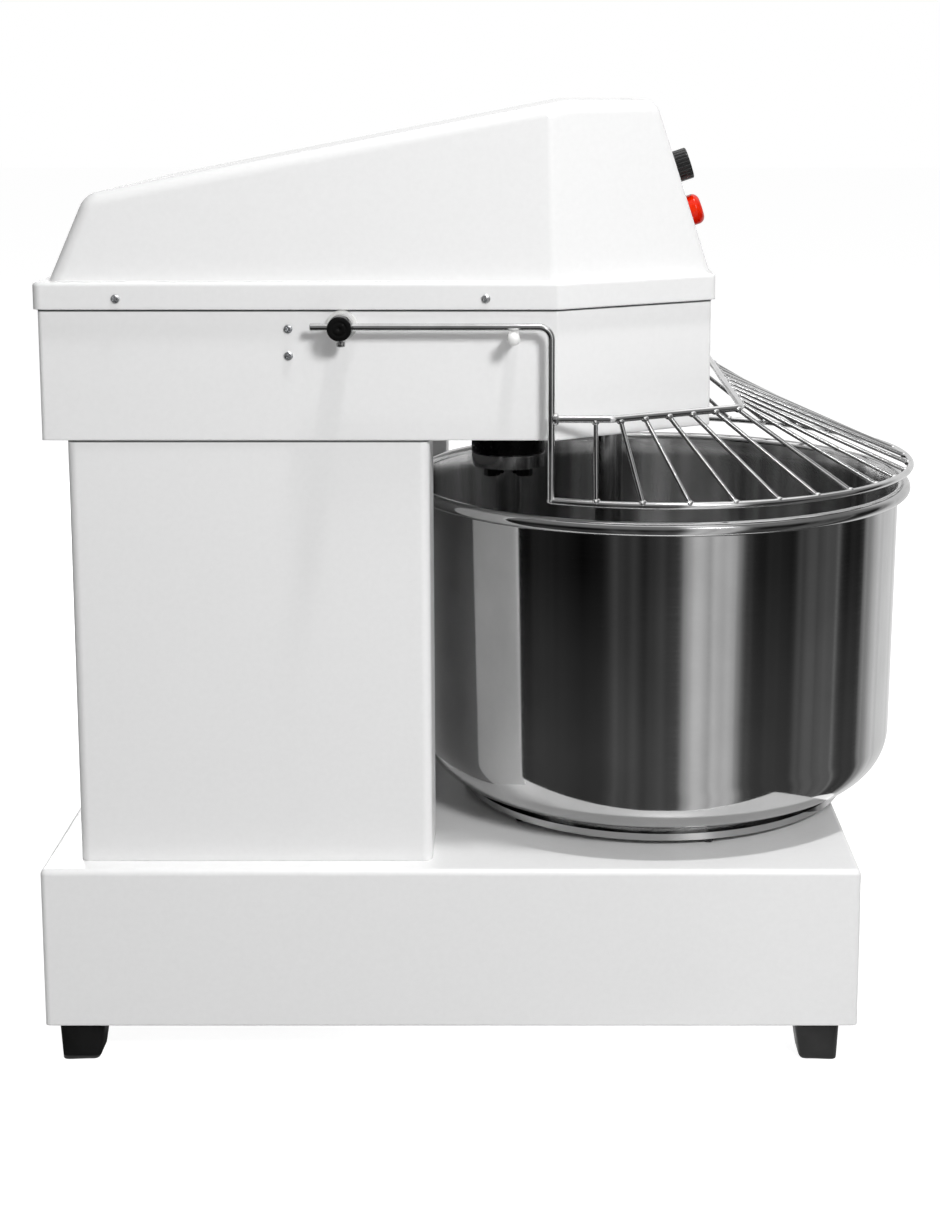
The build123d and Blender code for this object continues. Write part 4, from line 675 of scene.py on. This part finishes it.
inner_level, corner_x, front_x, front_half = 0.555, 0.097, 0.208, 0.165
inner_rod_bend, inner_rod_sunk = 0.015, 0.001
inner_start = arm_front + rod_radius - inner_rod_sunk
inner_path = bent([
    (inner_start, -arm_reach, inner_level), (corner_x, -arm_reach, inner_level),
    (front_x, -front_half, inner_level), (front_x, front_half, inner_level),
    (corner_x, arm_reach, inner_level), (inner_start, arm_reach, inner_level),
], (inner_rod_bend,) * 4)
inner_rod = joined("guard_nose_rod", rod(inner_path, rod_radius))
inner_rod.data.materials.append(chrome)
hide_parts("guard_inner_rod")
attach(inner_rod, "guard")

first_bar_x, side_bar_step, side_bar_count = 0.083, 0.020, 7
front_bar_step, front_bar_count, fan_step = 0.0326, 5, 9.59
side_x = first_bar_x + side_bar_step * np.arange(side_bar_count)
leg = np.clip((side_x - corner_x) / (front_x - corner_x), 0, None)
side_y = arm_reach - leg * (arm_reach - front_half)
front_y = front_bar_step * np.arange(front_bar_count)[::-1]
half_x = np.concatenate([side_x, np.full(len(front_y), front_x)])
half_y = np.concatenate([side_y, front_y])
half_count = len(half_x)
inner_ends = np.column_stack([half_x, half_y, np.full(half_count, inner_level)])
outer_ends = on_ring(np.radians(fan_step * np.arange(half_count)[::-1]))
flip = np.array([1, -1, 1])
inner_ends = np.vstack([inner_ends, inner_ends[:-1] * flip])
outer_ends = np.vstack([outer_ends, outer_ends[:-1] * flip])
bars = joined("guard_bar_rods", *[
    rod(np.vstack([[low], straight(low, high, 4), [high]]), bar_radius, 14)
    for low, high in zip(outer_ends, inner_ends)
])
bars.data.materials.append(chrome)
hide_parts("guard_bars")
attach(bars, "guard")

# Weld beads where the bars meet the rods and the ring meets the arms: small flattened lumps, plated with
# the rods. A turned collar of weld joins each end of the inner rod to its arm.
weld_rows, weld_columns, weld_size, weld_inset = 9, 14, (0.0036, 0.0036, 0.0028), 0.0022
lat = np.linspace(-np.pi / 2, np.pi / 2, weld_rows)[1:-1, None]
lon = np.linspace(0, 2 * np.pi, weld_columns, endpoint=False)
reach = (1 + 0.10 * np.sin(3 * lon + 2 * lat)) * np.cos(lat)
lump = np.stack([reach * np.cos(lon), reach * np.sin(lon), np.sin(lat) + 0 * lon], -1).reshape(-1, 3)
weld = np.vstack([lump, [(0, 0, -1), (0, 0, 1)]]) * weld_size, closed_rows(weld_rows - 2, weld_columns)
collar = [(0, -0.0008), (0.0044, -0.0006), (0.0052, 0.0004), (0.0052, 0.0026), (0.0044, 0.0037),
          (0.0031, 0.0042), (0, 0.0042)]
collar_places = [(inner_start, side * arm_reach, inner_level) for side in (-1, 1)]
collars = repeat(turned(collar, np.zeros(3), x_axis, z_axis, 32), collar_places)
toward = (inner_ends - outer_ends) / np.linalg.norm(inner_ends - outer_ends, axis=1, keepdims=True)
weld_places = np.vstack([
    outer_ends + toward * weld_inset, inner_ends - toward * weld_inset,
    [(arm_front, side * ring_end_y, ring_level) for side in (-1, 1)],
])
welds = joined("guard_welds", repeat(weld, weld_places), collars)
welds.data.materials.append(chrome)
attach(welds, "guard")

# The guard's shaft is plated steel and runs in white plastic bushes in the sides of the casing. A steel
# collar on it works the black guard switch.
dress(chrome, "guard_shaft")
dress(black_plastic, "guard_switch")
dress(ground_steel, "guard_magnet")
white_plastic = moulded("white_plastic", (0.60, 0.60, 0.59), (0.65, 0.65, 0.64), 0.35, 0.0010, 0.00002)
dress(white_plastic, "guard_bush_left", "guard_bush_right")

# The shaft's end caps are turned black plastic with a ring and a dimple in the face, pressed on over the
# shaft. The steel set screws below them have a round head.
cap_face_radius, cap_face_y, cap_crown = 0.0088, 0.2430, 0.00025
dimple_depth, dimple_width = 0.00120, 0.0012
groove_depth, groove_width, groove_radius = 0.00036, 0.0007, 0.0055
out = np.linspace(0, cap_face_radius, 60)[1:]
dimple = dimple_depth * np.exp(-(out / dimple_width) ** 2)
groove = groove_depth * np.exp(-((out - groove_radius) / groove_width) ** 2)
cap_face = np.stack([out, cap_face_y - cap_crown * (out / cap_face_radius) ** 2 - dimple - groove], -1)
cap_edge = arc((0.0090, 0.2418), 0.0010, 80, 0, 6)
cap_side = [(0.0104, 0.2330), (0.0104, 0.2322), (0.0102, 0.2320), (0.0095, 0.2320), (0.0095, 0.2390),
            (0.0, 0.2390)]
cap_profile = np.vstack([[(0.0, cap_face_y - dimple_depth)], cap_face, cap_edge, cap_side])
cap_plastic = moulded("cap_black_plastic", *gloss_black)
pivot = np.array([pivot_x, 0, pivot_level])
for side, side_name in sides:
    cap = joined(f"guard_cap_turned_{side_name}", turned(cap_profile, pivot, side * y_axis, x_axis, 64))
    cap.data.materials.append(cap_plastic)
    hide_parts(f"guard_cap_{side_name}")
    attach(cap, "guard")

set_screw_bottom = 0.614
screw_profile = [(0, 0), (0.0026, 0), (0.0034, 0.0005), (0.0036, 0.0011), (0.0036, 0.0030),
                 (0.0033, 0.0038), (0.0028, 0.0040), (0.0020, 0.0040), (0.0020, 0.0130), (0, 0.0130)]
screw_places = [(pivot_x, side * arm_reach, set_screw_bottom) for side in (-1, 1)]
set_screw = turned(screw_profile, np.zeros(3), z_axis, x_axis, 40)
set_screws = joined("guard_screws_turned", repeat(set_screw, screw_places))
set_screws.data.materials.append(bar_steel)
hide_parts("guard_set_screws")
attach(set_screws, "guard")

# Two white plastic pegs stand out of the sides of the casing for the arms to rest on. Each is a turned
# shank with a ball at its end, pressed into the sheet by a thinner spigot.
peg_place = np.array([0.0165, 0, 0.6217])
shank = [(0, 0.205), (0.003, 0.205), (0.003, 0.213), (0.0049, 0.213), (0.0049, 0.2300), (0.0040, 0.2338)]
ball = arc((0.0, 0.2397), 0.0053, -58, 88, 24)
peg_profile = np.vstack([shank, ball, [(0, 0.2450)]])
peg_low, peg_high = (0.80, 0.80, 0.79), (0.84, 0.84, 0.83)
peg_plastic = moulded("bright_white_plastic", peg_low, peg_high, 0.25, 0.0010, 0.00001, shine=0.4)
for side, side_name in sides:
    peg = joined(f"rest_peg_ball_{side_name}", turned(peg_profile, peg_place, side * y_axis, x_axis, 48))
    peg.data.materials.append(peg_plastic)
    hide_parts(f"rest_peg_{side_name}")
    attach(peg, "frame")
